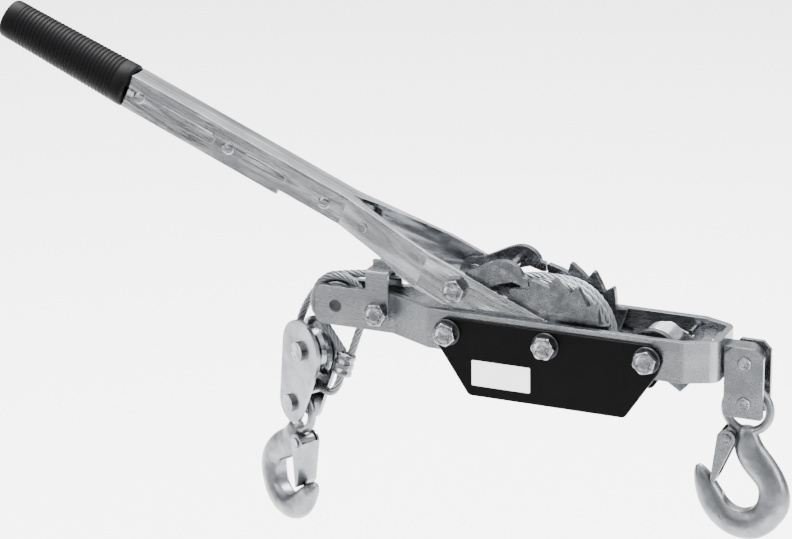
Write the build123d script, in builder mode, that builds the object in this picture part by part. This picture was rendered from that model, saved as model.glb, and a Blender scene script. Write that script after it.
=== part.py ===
"""Come along winch: a hand puller with a double ratchet drum, a lever, a wire rope,
a pulley block and two sprung hooks.

Units are millimetres and +Z is up. The model is laid out about the drum's axis, which
runs along Y through (0, 0, 0): the lever's side of the frame is -X, the anchor hook is
at +X and the front cover faces -Y. When a piece is written, everything is moved so that
the origin is on the rear cover's outer face.
"""
import math
import os
from build123d import *

os.makedirs("parts", exist_ok=True)

# ---- driving sizes -------------------------------------------------------------
# frame strap
strap_height = 25.0
strap_thick = 4.0
frame_width = 48.0
bolt_pitch = 62.5
left_bend_x = -75.6
right_bend_beyond_bolt = 20.1
neck_bend_x = -104.8
neck_length = 51.7
neck_gap = 11.4
end_wall_beyond_bend = 19.9
end_wall_width = 31.0
strap_bend_r = 8.0

# fasteners, all M8
bolt_r = 4.0
bolt_head_flats = 13.0
bolt_head_height = 5.3
nut_height = 6.5
washer_r = 8.2
washer_thick = 1.5
sleeve_r = 6.0
hole_clearance = 0.05

# covers
cover_thick = 2.0
cover_top = 9.0
cover_drop = 38.5
cover_foot = 98.0
cover_end_r = 9.5

# drum
teeth = 16
tip_r = 38.3
root_r = 32.3
ratchet_thick = 4.0
ratchet_gap = 0.3
drum_hub_r = 22.0
drum_rivet_radius = 17.0
drum_rivets_count = 4
rivet_r = 3.0
first_tip_angle = 111.7

# wire rope
rope_d = 5.0
rope_gap = 0.3
wound_lower_r = 31.0
wound_upper_r = 35.8

# lever
lever_angle = 23.3
arm_thick = 2.5
arm_clearance = 0.4
lever_half_height = 11.0
lever_half_depth = 8.0
lever_length = 399.0
grip_length = 87.0
grip_inner_r = 14.0
grip_outer_r = 12.4
grip_ribs = 22
pawl_pivot_radius = 65.0
fork_start = 88.0
fork_end = 150.0

# link and hooks
link_width = 23.5
link_top = 8.5
link_bottom = -35.0
link_plate_thick = 2.5
link_pin_beyond_wall = 13.5
link_upper_z = -1.0
link_lower_z = -26.0
link_pin_r = 4.0
tongue_half = 6.0
hook_half = 5.5
hook_eye_r = 10.8
eye_wire_r = 2.7
hook_play = 0.3
bowl_centre = (-2.7, -58.8)
bowl_r = 11.5
side_clearance = 0.5

# guide roller and keeper in the neck
roller_x = -143.0
roller_r = 14.0
keeper_x = -114.2
keeper_width = 14.4
keeper_thick = 2.5
keeper_underside = 24.0

# pulley block, turned about Z and leaning in its own plane
block_centre = (-164.9, 0.0, -34.4)
block_turn = -32.2
block_lean = 17.5
sheave_r = 17.6
sheave_groove_r = 13.0
rim_width = 0.5
sheave_half = 5.0
cheek_thick = 2.5
cheek_r = 19.6
cheek_foot_r = 12.5
hook_pin_drop = 40.0

# ---- places that follow from them ---------------------------------------------------
right_bend_x = bolt_pitch + right_bend_beyond_bolt
end_wall_x = right_bend_x + end_wall_beyond_bend
link_pin_x = end_wall_x + link_pin_beyond_wall
frame_half = frame_width / 2
frame_inner = frame_half - strap_thick
cover_outer = frame_half + cover_thick
neck_half = neck_gap / 2 + strap_thick
neck_end_x = neck_bend_x - neck_length
arm_outer = frame_inner - arm_clearance
arm_inner = arm_outer - arm_thick
ratchet_outer = arm_inner - ratchet_gap
ratchet_inner = ratchet_outer - ratchet_thick
rope_r = rope_d / 2
origin_shift = (-link_pin_x - bowl_centre[0], 0.0, -link_lower_z - bowl_centre[1])
lever_dir = (-math.cos(math.radians(lever_angle)), 0, math.sin(math.radians(lever_angle)))
lever_up = (lever_dir[2], 0, -lever_dir[0])
lever_plane = Plane(origin=(0, 0, 0), x_dir=lever_dir, z_dir=(0, 1, 0))
lever_top_plane = Plane(origin=(0, 0, 0), x_dir=lever_dir, z_dir=lever_up)
side_plane = Plane(origin=(0, 0, 0), x_dir=(1, 0, 0), z_dir=(0, -1, 0))


def side_at(y):
    """The side view plane at depth y: x to the right, z up, facing the front."""
    return Plane(origin=(0, y, 0), x_dir=(1, 0, 0), z_dir=(0, -1, 0))


def lever_at(y):
    """The lever's side plane at depth y: x runs out along the lever, facing the rear."""
    return Plane(origin=(0, y, 0), x_dir=lever_dir, z_dir=(0, 1, 0))


def write(name, piece):
    """Label a finished piece, move it to the part's origin and write it."""
    placed = piece.moved(Location(origin_shift))
    placed.label = name
    export_step(placed, f"parts/{name}.step")


# ---- frame strap -----------------------------------------------------------------
strap_half_outline = [
    (neck_end_x - strap_thick, neck_half),
    (neck_bend_x, neck_half),
    (left_bend_x, frame_half),
    (right_bend_x, frame_half),
    (end_wall_x, end_wall_width / 2),
]
strap_outline = strap_half_outline + [(x, -y) for x, y in reversed(strap_half_outline)]
stud_r = 6.0
anchor_rivet_x = right_bend_x - 4.2
anchor_rivet_z = 8.0
anchor_rivet_r = 1.5
rivet_inner_end = 5.5

with BuildPart() as frame_strap:
    with BuildSketch(Plane.XY.offset(-strap_height / 2)) as strap_loop:
        with BuildLine():
            Polyline(*strap_outline, close=True)
        make_face()
        fillet(strap_loop.vertices().filter_by_position(Axis.X, neck_bend_x - 1, end_wall_x + 1), strap_bend_r)
        offset(amount=-strap_thick, mode=Mode.SUBTRACT)
    extrude(amount=strap_height)
    with Locations((neck_end_x - strap_thick, 0, 0)):
        Box(2 * strap_thick, frame_width, strap_height + 2, mode=Mode.SUBTRACT)
    corners = frame_strap.edges().filter_by(Axis.Y).group_by(Axis.X)[0]
    fillet(corners, 5.0)
    with BuildSketch(side_at(-frame_width)):
        with Locations((-bolt_pitch, 0), (0, 0), (bolt_pitch, 0), (keeper_x, 0)):
            Circle(bolt_r + hole_clearance)
        with Locations((roller_x, 0)):
            Circle(bolt_r + hole_clearance)
    extrude(amount=-2 * frame_width, mode=Mode.SUBTRACT)
    with BuildSketch(side_at(0)):
        with Locations((anchor_rivet_x, anchor_rivet_z)):
            Circle(anchor_rivet_r + hole_clearance)
    extrude(amount=-frame_width, mode=Mode.SUBTRACT)
    with BuildSketch(Plane.YZ.offset(end_wall_x - 2 * strap_thick)):
        with Locations((0, link_upper_z)):
            Circle(stud_r + hole_clearance)
    extrude(amount=4 * strap_thick, mode=Mode.SUBTRACT)
write("frame_strap", frame_strap.part)

# ---- cover plates and the plain label ----------------------------------------------
cover_shoulder = bolt_pitch + 6.0
with BuildPart() as front_cover_plate:
    with BuildSketch(side_at(-frame_half)) as cover_face:
        with BuildLine():
            Polyline((-bolt_pitch - cover_end_r, 0), (-cover_shoulder, -cover_top), (-cover_foot / 2, -cover_drop),
                     (cover_foot / 2, -cover_drop), (cover_shoulder, -cover_top), (bolt_pitch + cover_end_r, 0),
                     (cover_shoulder - 4, cover_top), (-cover_shoulder + 4, cover_top), close=True)
        make_face()
        fillet(cover_face.vertices(), 4.0)
        with Locations((-bolt_pitch, 0), (0, 0), (bolt_pitch, 0)):
            Circle(bolt_r + hole_clearance, mode=Mode.SUBTRACT)
    extrude(amount=cover_thick)
    fillet(front_cover_plate.faces().sort_by(Axis.Y)[0].outer_wire().edges(), 0.6)
write("front_cover_plate", front_cover_plate.part)
rear_cover_plate = mirror(front_cover_plate.part, about=Plane.XZ)
write("rear_cover_plate", rear_cover_plate)

label_width = 37.0
label_height = 16.0
label_thick = 0.3
label_centre = (-28.3, -23.5)
with BuildPart() as cover_label:
    with BuildSketch(side_at(-cover_outer)):
        with Locations(label_centre):
            RectangleRounded(label_width, label_height, 0.8)
    extrude(amount=label_thick)
write("cover_label", cover_label.part)


# ---- bolts, nuts and washers --------------------------------------------------------
def hex_bolt(plane, grip):
    """A hex bolt lying along the plane's normal, its head's face on the plane."""
    with BuildPart() as bolt:
        with BuildSketch(plane):
            RegularPolygon(bolt_head_flats / 2, 6, major_radius=False)
        extrude(amount=bolt_head_height)
        with BuildSketch(plane):
            Circle(bolt_r)
        extrude(amount=-grip)
        tail = bolt.faces().sort_by(Axis(plane.origin, plane.z_dir))[0]
        chamfer(tail.edges(), 0.6)
    return bolt.part


def hex_nut(plane):
    """A hex nut standing on the plane, with the bolt's hole through it."""
    with BuildPart() as nut:
        with BuildSketch(plane):
            RegularPolygon(bolt_head_flats / 2, 6, major_radius=False)
            Circle(bolt_r, mode=Mode.SUBTRACT)
        extrude(amount=nut_height)
    return nut.part


def washer(plane):
    """A flat washer standing on the plane."""
    with BuildPart() as ring:
        with BuildSketch(plane):
            Circle(washer_r)
            Circle(bolt_r + hole_clearance, mode=Mode.SUBTRACT)
        extrude(amount=washer_thick)
        fillet(ring.edges().filter_by(GeomType.CIRCLE).group_by(SortBy.LENGTH)[-1], 0.4)
    return ring.part


def front_facing(x, z, y, turn=12):
    """A plane at (x, y, z) that faces the front, turned so that the hexes aren't all alike."""
    return Plane(origin=(x, y, z), x_dir=(math.cos(math.radians(turn)), 0, math.sin(math.radians(turn))),
                 z_dir=(0, -1, 0))


def rear_facing(x, z, y, turn=12):
    """A plane at (x, y, z) that faces the rear."""
    return Plane(origin=(x, y, z), x_dir=(math.cos(math.radians(turn)), 0, math.sin(math.radians(turn))),
                 z_dir=(0, 1, 0))


thread_tail = 4.0
frame_bolt_grip = 2 * (cover_outer + washer_thick) + nut_height + thread_tail
frame_bolts = []
frame_nuts = []
frame_washers = []
for index, bolt_x in enumerate((-bolt_pitch, 0.0, bolt_pitch)):
    head_turn = 12 + 17 * index
    frame_bolts.append(hex_bolt(front_facing(bolt_x, 0, -cover_outer - washer_thick, head_turn), frame_bolt_grip))
    frame_nuts.append(hex_nut(rear_facing(bolt_x, 0, cover_outer + washer_thick, head_turn + 9)))
    frame_washers.append(washer(front_facing(bolt_x, 0, -cover_outer)))
    frame_washers.append(washer(rear_facing(bolt_x, 0, cover_outer)))
write("frame_bolts", Compound(frame_bolts))
write("frame_nuts", Compound(frame_nuts))
write("frame_washers", Compound(frame_washers))


def sleeve(x, z, half_length):
    """A plain spacer tube round a bolt that runs along Y."""
    with BuildPart() as tube:
        with BuildSketch(side_at(-half_length)):
            with Locations((x, z)):
                Circle(sleeve_r)
                Circle(bolt_r + hole_clearance, mode=Mode.SUBTRACT)
        extrude(amount=-2 * half_length)
    return tube.part


write("drum_axle_sleeve", sleeve(0, 0, frame_inner))
write("stop_pawl_sleeve", sleeve(bolt_pitch, 0, frame_inner))


# ---- drum: hub, two ratchet wheels, rivets and the wound rope -------------------------
tooth_pitch = 360.0 / teeth
bore_r = sleeve_r + hole_clearance
rivet_places = [(drum_rivet_radius * math.cos(math.radians(20 + 360 / drum_rivets_count * k)),
                 drum_rivet_radius * math.sin(math.radians(20 + 360 / drum_rivets_count * k)))
                for k in range(drum_rivets_count)]
root_lead = 2.5


def polar(radius, degrees):
    """A point in the side view at this radius and angle from the drum's axis."""
    return (radius * math.cos(math.radians(degrees)), radius * math.sin(math.radians(degrees)))


def ratchet_wheel(y_front):
    """One ratchet wheel, its front face at depth y_front; the steep flanks face anticlockwise."""
    outline = []
    for k in range(teeth):
        tip_angle = first_tip_angle - k * tooth_pitch
        outline.append(polar(root_r, tip_angle + root_lead))
        outline.append(polar(tip_r, tip_angle))
        outline.append(polar(tip_r, tip_angle - 2.2))
        outline.append(polar(root_r + 2.2, tip_angle - 0.55 * tooth_pitch))
    with BuildPart() as wheel:
        with BuildSketch(side_at(y_front)):
            with BuildLine():
                Polyline(*outline, close=True)
            make_face()
            Circle(bore_r, mode=Mode.SUBTRACT)
            with Locations(*rivet_places):
                Circle(rivet_r + hole_clearance, mode=Mode.SUBTRACT)
        extrude(amount=-ratchet_thick)
    return wheel.part


write("front_ratchet_wheel", ratchet_wheel(-ratchet_outer))
write("rear_ratchet_wheel", ratchet_wheel(ratchet_inner))

with BuildPart() as drum_hub:
    with BuildSketch(side_at(-ratchet_inner)):
        Circle(drum_hub_r)
        Circle(bore_r, mode=Mode.SUBTRACT)
        with Locations(*rivet_places):
            Circle(rivet_r + hole_clearance, mode=Mode.SUBTRACT)
    extrude(amount=-2 * ratchet_inner)
write("drum_hub", drum_hub.part)

rivet_head_height = 0.25
drum_rivets = []
for rivet_x, rivet_z in rivet_places:
    with BuildPart() as drum_rivet:
        with BuildSketch(side_at(-ratchet_outer - rivet_head_height)):
            with Locations((rivet_x, rivet_z)):
                Circle(rivet_r)
        extrude(amount=-2 * (ratchet_outer + rivet_head_height))
    drum_rivets.append(drum_rivet.part)
write("drum_rivets", Compound(drum_rivets))

# the third layer of turns stops short of the rear, where the rope runs on
wound_half = ratchet_inner - 0.3
third_layer_end = -rope_r - rope_gap
with BuildPart() as wound_rope:
    with BuildSketch(Plane.XY):
        with BuildLine():
            Polyline((drum_hub_r + 0.2, -wound_half), (wound_upper_r, -wound_half), (wound_upper_r, third_layer_end),
                     (wound_lower_r, third_layer_end), (wound_lower_r, wound_half),
                     (drum_hub_r + 0.2, wound_half), close=True)
        make_face()
    revolve(axis=Axis.Y)
write("wound_rope", wound_rope.part)

# ---- stop pawl, on the right frame bolt -------------------------------------------------
stop_nose = polar(tip_r + 0.5, -33.0)
stop_hub_r = 15.0
stop_tail_angle = -43.5
stop_tail_reach = 27.0
tail_width = 7.0
tail_end_half = 3.0
thumb_tab = 6.5
tail_dir = (math.cos(math.radians(stop_tail_angle)), math.sin(math.radians(stop_tail_angle)))
tail_side = (-tail_dir[1], tail_dir[0])


def tail_point(along, across):
    """A point on the stop pawl's tail, measured from the pawl's pivot."""
    return (bolt_pitch + along * tail_dir[0] + across * tail_side[0],
            along * tail_dir[1] + across * tail_side[1])


with BuildPart() as stop_pawl:
    with BuildSketch(side_at(-ratchet_outer)):
        with Locations((bolt_pitch, 0)):
            Circle(stop_hub_r)
        with BuildLine():
            Polyline((bolt_pitch - 11, 8.5), stop_nose, (stop_nose[0] + 3.0, stop_nose[1] - 4.5),
                     (bolt_pitch - 6, -13.5), close=True)
        make_face()
        with BuildLine():
            Polyline(tail_point(5, -tail_width), tail_point(stop_tail_reach, -tail_end_half),
                     tail_point(stop_tail_reach, tail_end_half), tail_point(8, tail_width), close=True)
        make_face()
        with Locations((bolt_pitch, 0)):
            Circle(sleeve_r + hole_clearance, mode=Mode.SUBTRACT)
    extrude(amount=-ratchet_thick)
    with BuildSketch(side_at(-ratchet_inner)):
        with BuildLine():
            Polyline(tail_point(stop_tail_reach - 3, -tail_end_half), tail_point(stop_tail_reach, -tail_end_half),
                     tail_point(stop_tail_reach, tail_end_half), tail_point(stop_tail_reach - 3, tail_end_half),
                     close=True)
        make_face()
    extrude(amount=-thumb_tab)
write("stop_pawl", stop_pawl.part)


def torsion_spring(x, z, half_length, inner_r, wire, legs):
    """A torsion coil round a sleeve: a tube for the turns and a straight wire for each leg."""
    with BuildPart() as coil:
        with BuildSketch(side_at(-half_length)):
            with Locations((x, z)):
                Circle(inner_r + wire)
                Circle(inner_r, mode=Mode.SUBTRACT)
        extrude(amount=-2 * half_length)
        for start, end in legs:
            with BuildLine() as leg:
                Line(start, end)
            with BuildSketch(Plane(origin=start, z_dir=leg.line % 0)):
                Circle(wire / 2)
            sweep(path=leg.line)
    return coil.part


spring_wire = 1.6
spring_inner_r = 11.4
stop_spring_mid = spring_inner_r + spring_wire / 2
stop_leg_end = tail_point(stop_tail_reach - 4.0, 0)
spring_half = 8.5
write("stop_pawl_spring", torsion_spring(
    bolt_pitch, 0, spring_half, spring_inner_r, spring_wire,
    [((bolt_pitch, spring_half - 1, stop_spring_mid), (anchor_rivet_x + 1.2, spring_half - 1, anchor_rivet_z - 3.1)),
     ((bolt_pitch + 1, 1 - spring_half, -stop_spring_mid), (stop_leg_end[0], 1 - spring_half, stop_leg_end[1]))]))

with BuildPart() as spring_anchor_rivet:
    with BuildSketch(side_at(frame_half)):
        with Locations((anchor_rivet_x, anchor_rivet_z)):
            Circle(anchor_rivet_r)
    extrude(amount=frame_half - rivet_inner_end)
    with BuildSketch(side_at(frame_inner)):
        with Locations((anchor_rivet_x, anchor_rivet_z)):
            Circle(2.6)
    extrude(amount=1.4)
write("spring_anchor_rivet", spring_anchor_rivet.part)

# ---- guide roller, its pin, and the keeper bracket ------------------------------------------
roller_half = neck_gap / 2 - 0.3
with BuildPart() as guide_roller:
    with BuildSketch(side_at(-roller_half)):
        with Locations((roller_x, 0)):
            Circle(roller_r)
            Circle(bolt_r + hole_clearance, mode=Mode.SUBTRACT)
    extrude(amount=-2 * roller_half)
    fillet(guide_roller.edges().filter_by(GeomType.CIRCLE).group_by(SortBy.LENGTH)[-1], 0.5)
write("guide_roller", guide_roller.part)

with BuildPart() as roller_pin:
    with BuildSketch(side_at(-neck_half - 0.6)):
        with Locations((roller_x, 0)):
            Circle(bolt_r)
    extrude(amount=-2 * (neck_half + 0.6))
    chamfer(roller_pin.edges(), 0.5)
write("roller_pin", roller_pin.part)

keeper_top = keeper_underside + keeper_thick
keeper_half = neck_half + keeper_thick
keeper_left = keeper_x - keeper_width / 2
lug_width = 11.0
with BuildPart() as keeper_bracket:
    with BuildSketch(Plane.YZ.offset(keeper_left)):
        with BuildLine():
            Polyline((-keeper_half, -7.2), (-keeper_half, keeper_top), (keeper_half, keeper_top),
                     (keeper_half, -7.2), (neck_half, -7.2), (neck_half, keeper_underside),
                     (-neck_half, keeper_underside), (-neck_half, -7.2), close=True)
        make_face()
    extrude(amount=keeper_width)
    along_x = keeper_bracket.edges().filter_by(Axis.X)
    top_edges = along_x.filter_by_position(Axis.Z, keeper_top - 0.1, keeper_top + 0.1)
    fillet(top_edges, 2.0)
    leg_corners = keeper_bracket.edges().filter_by(Axis.Y).filter_by_position(Axis.Z, -7.3, -7.1)
    fillet(leg_corners, 5.0)
    with BuildSketch(Plane.XZ.offset(-2.0)):
        with Locations((keeper_left + lug_width / 2, keeper_top + 0.5)):
            Rectangle(lug_width, 5.0)
    extrude(amount=3.0)
    with BuildSketch(side_at(-keeper_half - 1)):
        with Locations((keeper_x, 0)):
            Circle(bolt_r + hole_clearance)
    extrude(amount=-2 * keeper_half - 2, mode=Mode.SUBTRACT)
write("keeper_bracket", keeper_bracket.part)

keeper_grip = 2 * keeper_half + nut_height + thread_tail
write("keeper_bolt", hex_bolt(front_facing(keeper_x, 0, -keeper_half, 38), keeper_grip))
write("keeper_nut", hex_nut(rear_facing(keeper_x, 0, keeper_half, 20)))
write("keeper_sleeve", sleeve(keeper_x, 0, neck_gap / 2))

# ---- anchor end: backing plate, tongue and nut -----------------------------------------------
backing_thick = 3.0
tongue_nut_height = 8.0
end_wall_inner = end_wall_x - strap_thick
with BuildPart() as backing_plate:
    with BuildSketch(Plane.YZ.offset(end_wall_inner - backing_thick)):
        RectangleRounded(16.0, 21.0, 2.0)
        with Locations((0, link_upper_z)):
            Circle(stud_r + hole_clearance, mode=Mode.SUBTRACT)
    extrude(amount=backing_thick)
write("backing_plate", backing_plate.part)

with BuildPart() as anchor_tongue:
    with BuildSketch(side_at(-tongue_half)):
        with Locations((link_pin_x, link_upper_z)):
            Circle(8.5)
        with Locations(((end_wall_x + link_pin_x) / 2, link_upper_z)):
            Rectangle(link_pin_x - end_wall_x, 17.0)
        with Locations((link_pin_x, link_upper_z)):
            Circle(link_pin_r + hole_clearance, mode=Mode.SUBTRACT)
    extrude(amount=-2 * tongue_half)
    with BuildSketch(Plane.YZ.offset(end_wall_x)):
        with Locations((0, link_upper_z)):
            Circle(stud_r)
    extrude(amount=-(strap_thick + backing_thick + tongue_nut_height + 2.0))
write("anchor_tongue", anchor_tongue.part)

with BuildPart() as tongue_nut:
    with BuildSketch(Plane.YZ.offset(end_wall_inner - backing_thick)):
        with Locations((0, link_upper_z)):
            RegularPolygon(8.5, 6, major_radius=False)
            Circle(stud_r, mode=Mode.SUBTRACT)
    extrude(amount=-tongue_nut_height)
write("tongue_nut", tongue_nut.part)

# ---- anchor link: two plates and two pins -------------------------------------------------------
link_left = link_pin_x - 12.2
link_inner = tongue_half + side_clearance
link_outer = link_inner + link_plate_thick


def link_plate(y_front):
    """A flat link plate with chamfered top corners and two pin holes."""
    with BuildPart() as plate:
        with BuildSketch(side_at(y_front)) as outline:
            with Locations((link_left + link_width / 2, (link_top + link_bottom) / 2)):
                Rectangle(link_width, link_top - link_bottom)
            chamfer(outline.vertices().group_by(Axis.Y)[-1], 5.0)
            fillet(outline.vertices().group_by(Axis.Y)[0], 1.5)
            with Locations((link_pin_x, link_upper_z), (link_pin_x, link_lower_z)):
                Circle(link_pin_r + hole_clearance, mode=Mode.SUBTRACT)
        extrude(amount=-link_plate_thick)
    return plate.part


write("front_link_plate", link_plate(-link_outer))
write("rear_link_plate", link_plate(link_inner))


def link_pin(z):
    """A riveted pin through both link plates."""
    with BuildPart() as pin:
        with BuildSketch(side_at(-link_outer - 1.2)):
            with Locations((link_pin_x, z)):
                Circle(link_pin_r)
        extrude(amount=-2 * (link_outer + 1.2))
        chamfer(pin.edges().filter_by(GeomType.CIRCLE), 0.5)
    return pin.part


write("upper_link_pin", link_pin(link_upper_z))
write("lower_link_pin", link_pin(link_lower_z))


# ---- sprung eye hooks ---------------------------------------------------------------------------
# Both hooks are the same. In a hook's own plane the hanging pin is at (0, 0), the hook
# hangs down -Y and its mouth opens towards -X.
eye_centre = (0.0, -(hook_eye_r - link_pin_r - hook_play))
latch_pivot = (-10.8, -24.4)
latch_tip = (-18.3, -54.5)
latch_wall = 1.2
latch_end_r = 5.6
latch_boss_r = 4.0
latch_rivet_r = 2.0
# the forging's sections from shank to lip: x, y, heading, half width, half thickness
shank_sections = [(0.0, -17.5, -90, 5.0, 3.4), (0.3, -24.0, -88, 7.6, 5.2), (2.6, -33.0, -63, 9.2, 5.6)]
bowl_sections = [(11.6, -44.8, -56, 9.3, 6.3), (17.3, -57.5, -92, 9.6, 7.0), (13.0, -71.0, -127, 9.7, 7.4),
                 (-1.5, -79.0, 180, 9.6, 7.2), (-16.5, -71.5, 128, 8.8, 6.2)]
lip_sections = [(-23.6, -59.5, 112, 7.4, 5.2), (-28.0, -49.5, 115, 4.2, 3.6), (-29.7, -46.0, 117, 1.6, 1.6)]


def section_plane(x, y, heading):
    """The plane square to the forging's centre line at (x, y)."""
    angle = math.radians(heading)
    return Plane(origin=(x, y, 0), x_dir=(-math.sin(angle), math.cos(angle), 0),
                 z_dir=(math.cos(angle), math.sin(angle), 0))


def hook_part():
    """The forged hook: a round eye, a lofted shank and bowl, a latch boss and a true bowl radius."""
    with BuildPart() as hook:
        for x, y, heading, half_width, half_thick in shank_sections + bowl_sections + lip_sections:
            with BuildSketch(section_plane(x, y, heading)):
                Ellipse(half_width, half_thick)
        loft()
        with Locations(eye_centre):
            Torus(hook_eye_r + eye_wire_r, eye_wire_r)
        with BuildSketch(Plane.XY):
            with Locations(latch_pivot):
                Circle(latch_boss_r)
        extrude(amount=hook_half, both=True)
        with BuildSketch(Plane.XY):
            with Locations(latch_pivot):
                Circle(latch_rivet_r + hole_clearance)
            with Locations(bowl_centre):
                Circle(bowl_r)
        extrude(amount=4 * hook_half, both=True, mode=Mode.SUBTRACT)
    return hook.part


def latch_part():
    """A folded sheet latch: two cheeks round the pivot and a back that closes the mouth."""
    inner = hook_half + 0.4
    outer = inner + latch_wall
    with BuildPart() as latch:
        with BuildSketch(Plane.XY):
            with BuildLine():
                Polyline((latch_pivot[0] - latch_end_r, latch_pivot[1]), (latch_pivot[0] + latch_end_r, latch_pivot[1]),
                         (latch_tip[0] + 1.8, latch_tip[1] + 4.0), latch_tip, (latch_tip[0] - 1.4, latch_tip[1] + 4.5),
                         close=True)
            make_face()
            with Locations(latch_pivot):
                Circle(latch_end_r)
        extrude(amount=outer, both=True)
        with BuildSketch(Plane.XY):
            with BuildLine():
                Polyline((latch_pivot[0] - latch_end_r + latch_wall, latch_pivot[1] + 9.0),
                         (latch_pivot[0] + 9.0, latch_pivot[1] + 9.0),
                         (latch_pivot[0] + 9.0, latch_pivot[1] - 4.0), (latch_tip[0] + 6.0, latch_tip[1] - 4.0),
                         (latch_tip[0] - 0.1, latch_tip[1] + 5.0), close=True)
            make_face()
        extrude(amount=inner, both=True, mode=Mode.SUBTRACT)
        with BuildSketch(Plane.XY):
            with Locations(latch_pivot):
                Circle(latch_rivet_r + hole_clearance)
        extrude(amount=2 * outer, both=True, mode=Mode.SUBTRACT)
    return latch.part


def latch_rivet_part():
    """The rivet that the latch turns on."""
    reach = hook_half + 0.4 + latch_wall
    with BuildPart() as rivet:
        with BuildSketch(Plane.XY):
            with Locations(latch_pivot):
                Circle(latch_rivet_r)
        extrude(amount=reach + 0.9, both=True)
        for face_side in (1, -1):
            with BuildSketch(Plane.XY.offset(face_side * reach)):
                with Locations(latch_pivot):
                    Circle(3.2)
            extrude(amount=face_side * 0.9)
    return rivet.part


hook_solid = hook_part()
latch_solid = latch_part()
latch_rivet_solid = latch_rivet_part()
anchor_hook_place = Plane(origin=(link_pin_x, 0, link_lower_z), x_dir=(1, 0, 0), z_dir=(0, -1, 0)).location
write("anchor_hook", hook_solid.moved(anchor_hook_place))
write("anchor_latch", latch_solid.moved(anchor_hook_place))
write("anchor_latch_rivet", latch_rivet_solid.moved(anchor_hook_place))

# ---- pulley block -----------------------------------------------------------------------------------
# In the block's own plane the sheave's axle is at (0, 0) and the hook hangs down -Y.
turn = math.radians(block_turn)
lean = math.radians(block_lean)
block_x_dir = (math.cos(lean) * math.cos(turn), math.cos(lean) * math.sin(turn), -math.sin(lean))
block_z_dir = (math.sin(turn), -math.cos(turn), 0)
block_plane = Plane(origin=block_centre, x_dir=block_x_dir, z_dir=block_z_dir)
block_place = block_plane.location
cheek_inner = sheave_half + side_clearance
cheek_outer = cheek_inner + cheek_thick


def block_layer(height):
    """The block's plane, moved along the sheave's axle."""
    return block_plane.offset(height)


def cheek_plate(height):
    """A pear-shaped side plate of the block."""
    with BuildPart() as plate:
        with BuildSketch(block_layer(height)):
            Circle(cheek_r)
            with Locations((0, -hook_pin_drop)):
                Circle(cheek_foot_r)
            make_hull()
            Circle(bolt_r + hole_clearance, mode=Mode.SUBTRACT)
            with Locations((0, -hook_pin_drop)):
                Circle(link_pin_r + hole_clearance, mode=Mode.SUBTRACT)
        extrude(amount=cheek_thick)
    return plate.part


write("front_block_cheek", cheek_plate(cheek_inner))
write("rear_block_cheek", cheek_plate(-cheek_outer))

with BuildPart() as sheave:
    with BuildSketch(Plane.XY) as sheave_half_section:
        with BuildLine():
            Polyline((bolt_r + hole_clearance, -sheave_half), (sheave_r, -sheave_half),
                     (sheave_r, -sheave_half + rim_width), (sheave_groove_r + 1.4, -rope_r), (sheave_groove_r, 0),
                     (sheave_groove_r + 1.4, rope_r), (sheave_r, sheave_half - rim_width),
                     (sheave_r, sheave_half), (bolt_r + hole_clearance, sheave_half), close=True)
        make_face()
    revolve(axis=Axis.Y)
sheave_turned = sheave.part.rotate(Axis.X, 90)
write("sheave", sheave_turned.moved(block_place))


def block_pin(y, radius, head_radius):
    """A headed pin across the block."""
    with BuildPart() as pin:
        with BuildSketch(block_layer(-cheek_outer - 1.5)):
            with Locations((0, y)):
                Circle(radius)
        extrude(amount=2 * cheek_outer + 3.0)
        with BuildSketch(block_layer(cheek_outer)):
            with Locations((0, y)):
                Circle(head_radius)
        extrude(amount=2.6)
        with BuildSketch(block_layer(-cheek_outer)):
            with Locations((0, y)):
                Circle(head_radius - 1.0)
        extrude(amount=-1.5)
    return pin.part


write("sheave_pin", block_pin(0, bolt_r, 6.2))
write("block_hook_pin", block_pin(-hook_pin_drop, link_pin_r, 5.6))

block_spacers = []
for spacer_x, spacer_y in ((-11.4, -23.6), (11.4, -23.6)):
    with BuildPart() as block_spacer:
        with BuildSketch(block_layer(-cheek_inner)):
            with Locations((spacer_x, spacer_y)):
                Circle(2.2)
        extrude(amount=2 * cheek_inner)
    block_spacers.append(block_spacer.part)
write("block_spacers", Compound(block_spacers))

# the load hook is turned over, so that its mouth faces the other way
load_hook_place = Plane(origin=block_plane.from_local_coords((0, -hook_pin_drop, 0)),
                        x_dir=tuple(-v for v in block_x_dir), z_dir=tuple(-v for v in block_z_dir)).location
write("load_hook", hook_solid.moved(load_hook_place))
write("load_latch", latch_solid.moved(load_hook_place))
write("load_latch_rivet", latch_rivet_solid.moved(load_hook_place))


# ---- lever: two pressed halves, rivets, grip --------------------------------------------------------
# In the lever's own plane X runs out from the drum's axis and Y is square to it, upwards.
arm_end_r = 12.6
arm_top = 10.8
arm_drop = 13.3
flange = 5.5
waist = 7.6
notch_x = 193.0
grip_start = lever_length - grip_length
core_start = grip_start - 6.0
core_half_height = 8.2
core_half_depth = 6.2
fork_cross_x = 134.0
lever_rivet_places = (163.0, 232.0, 297.0)
rib_places = ((262.0, 40.0), (206.0, 30.0))
lever_rivet_r = 2.6


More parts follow.
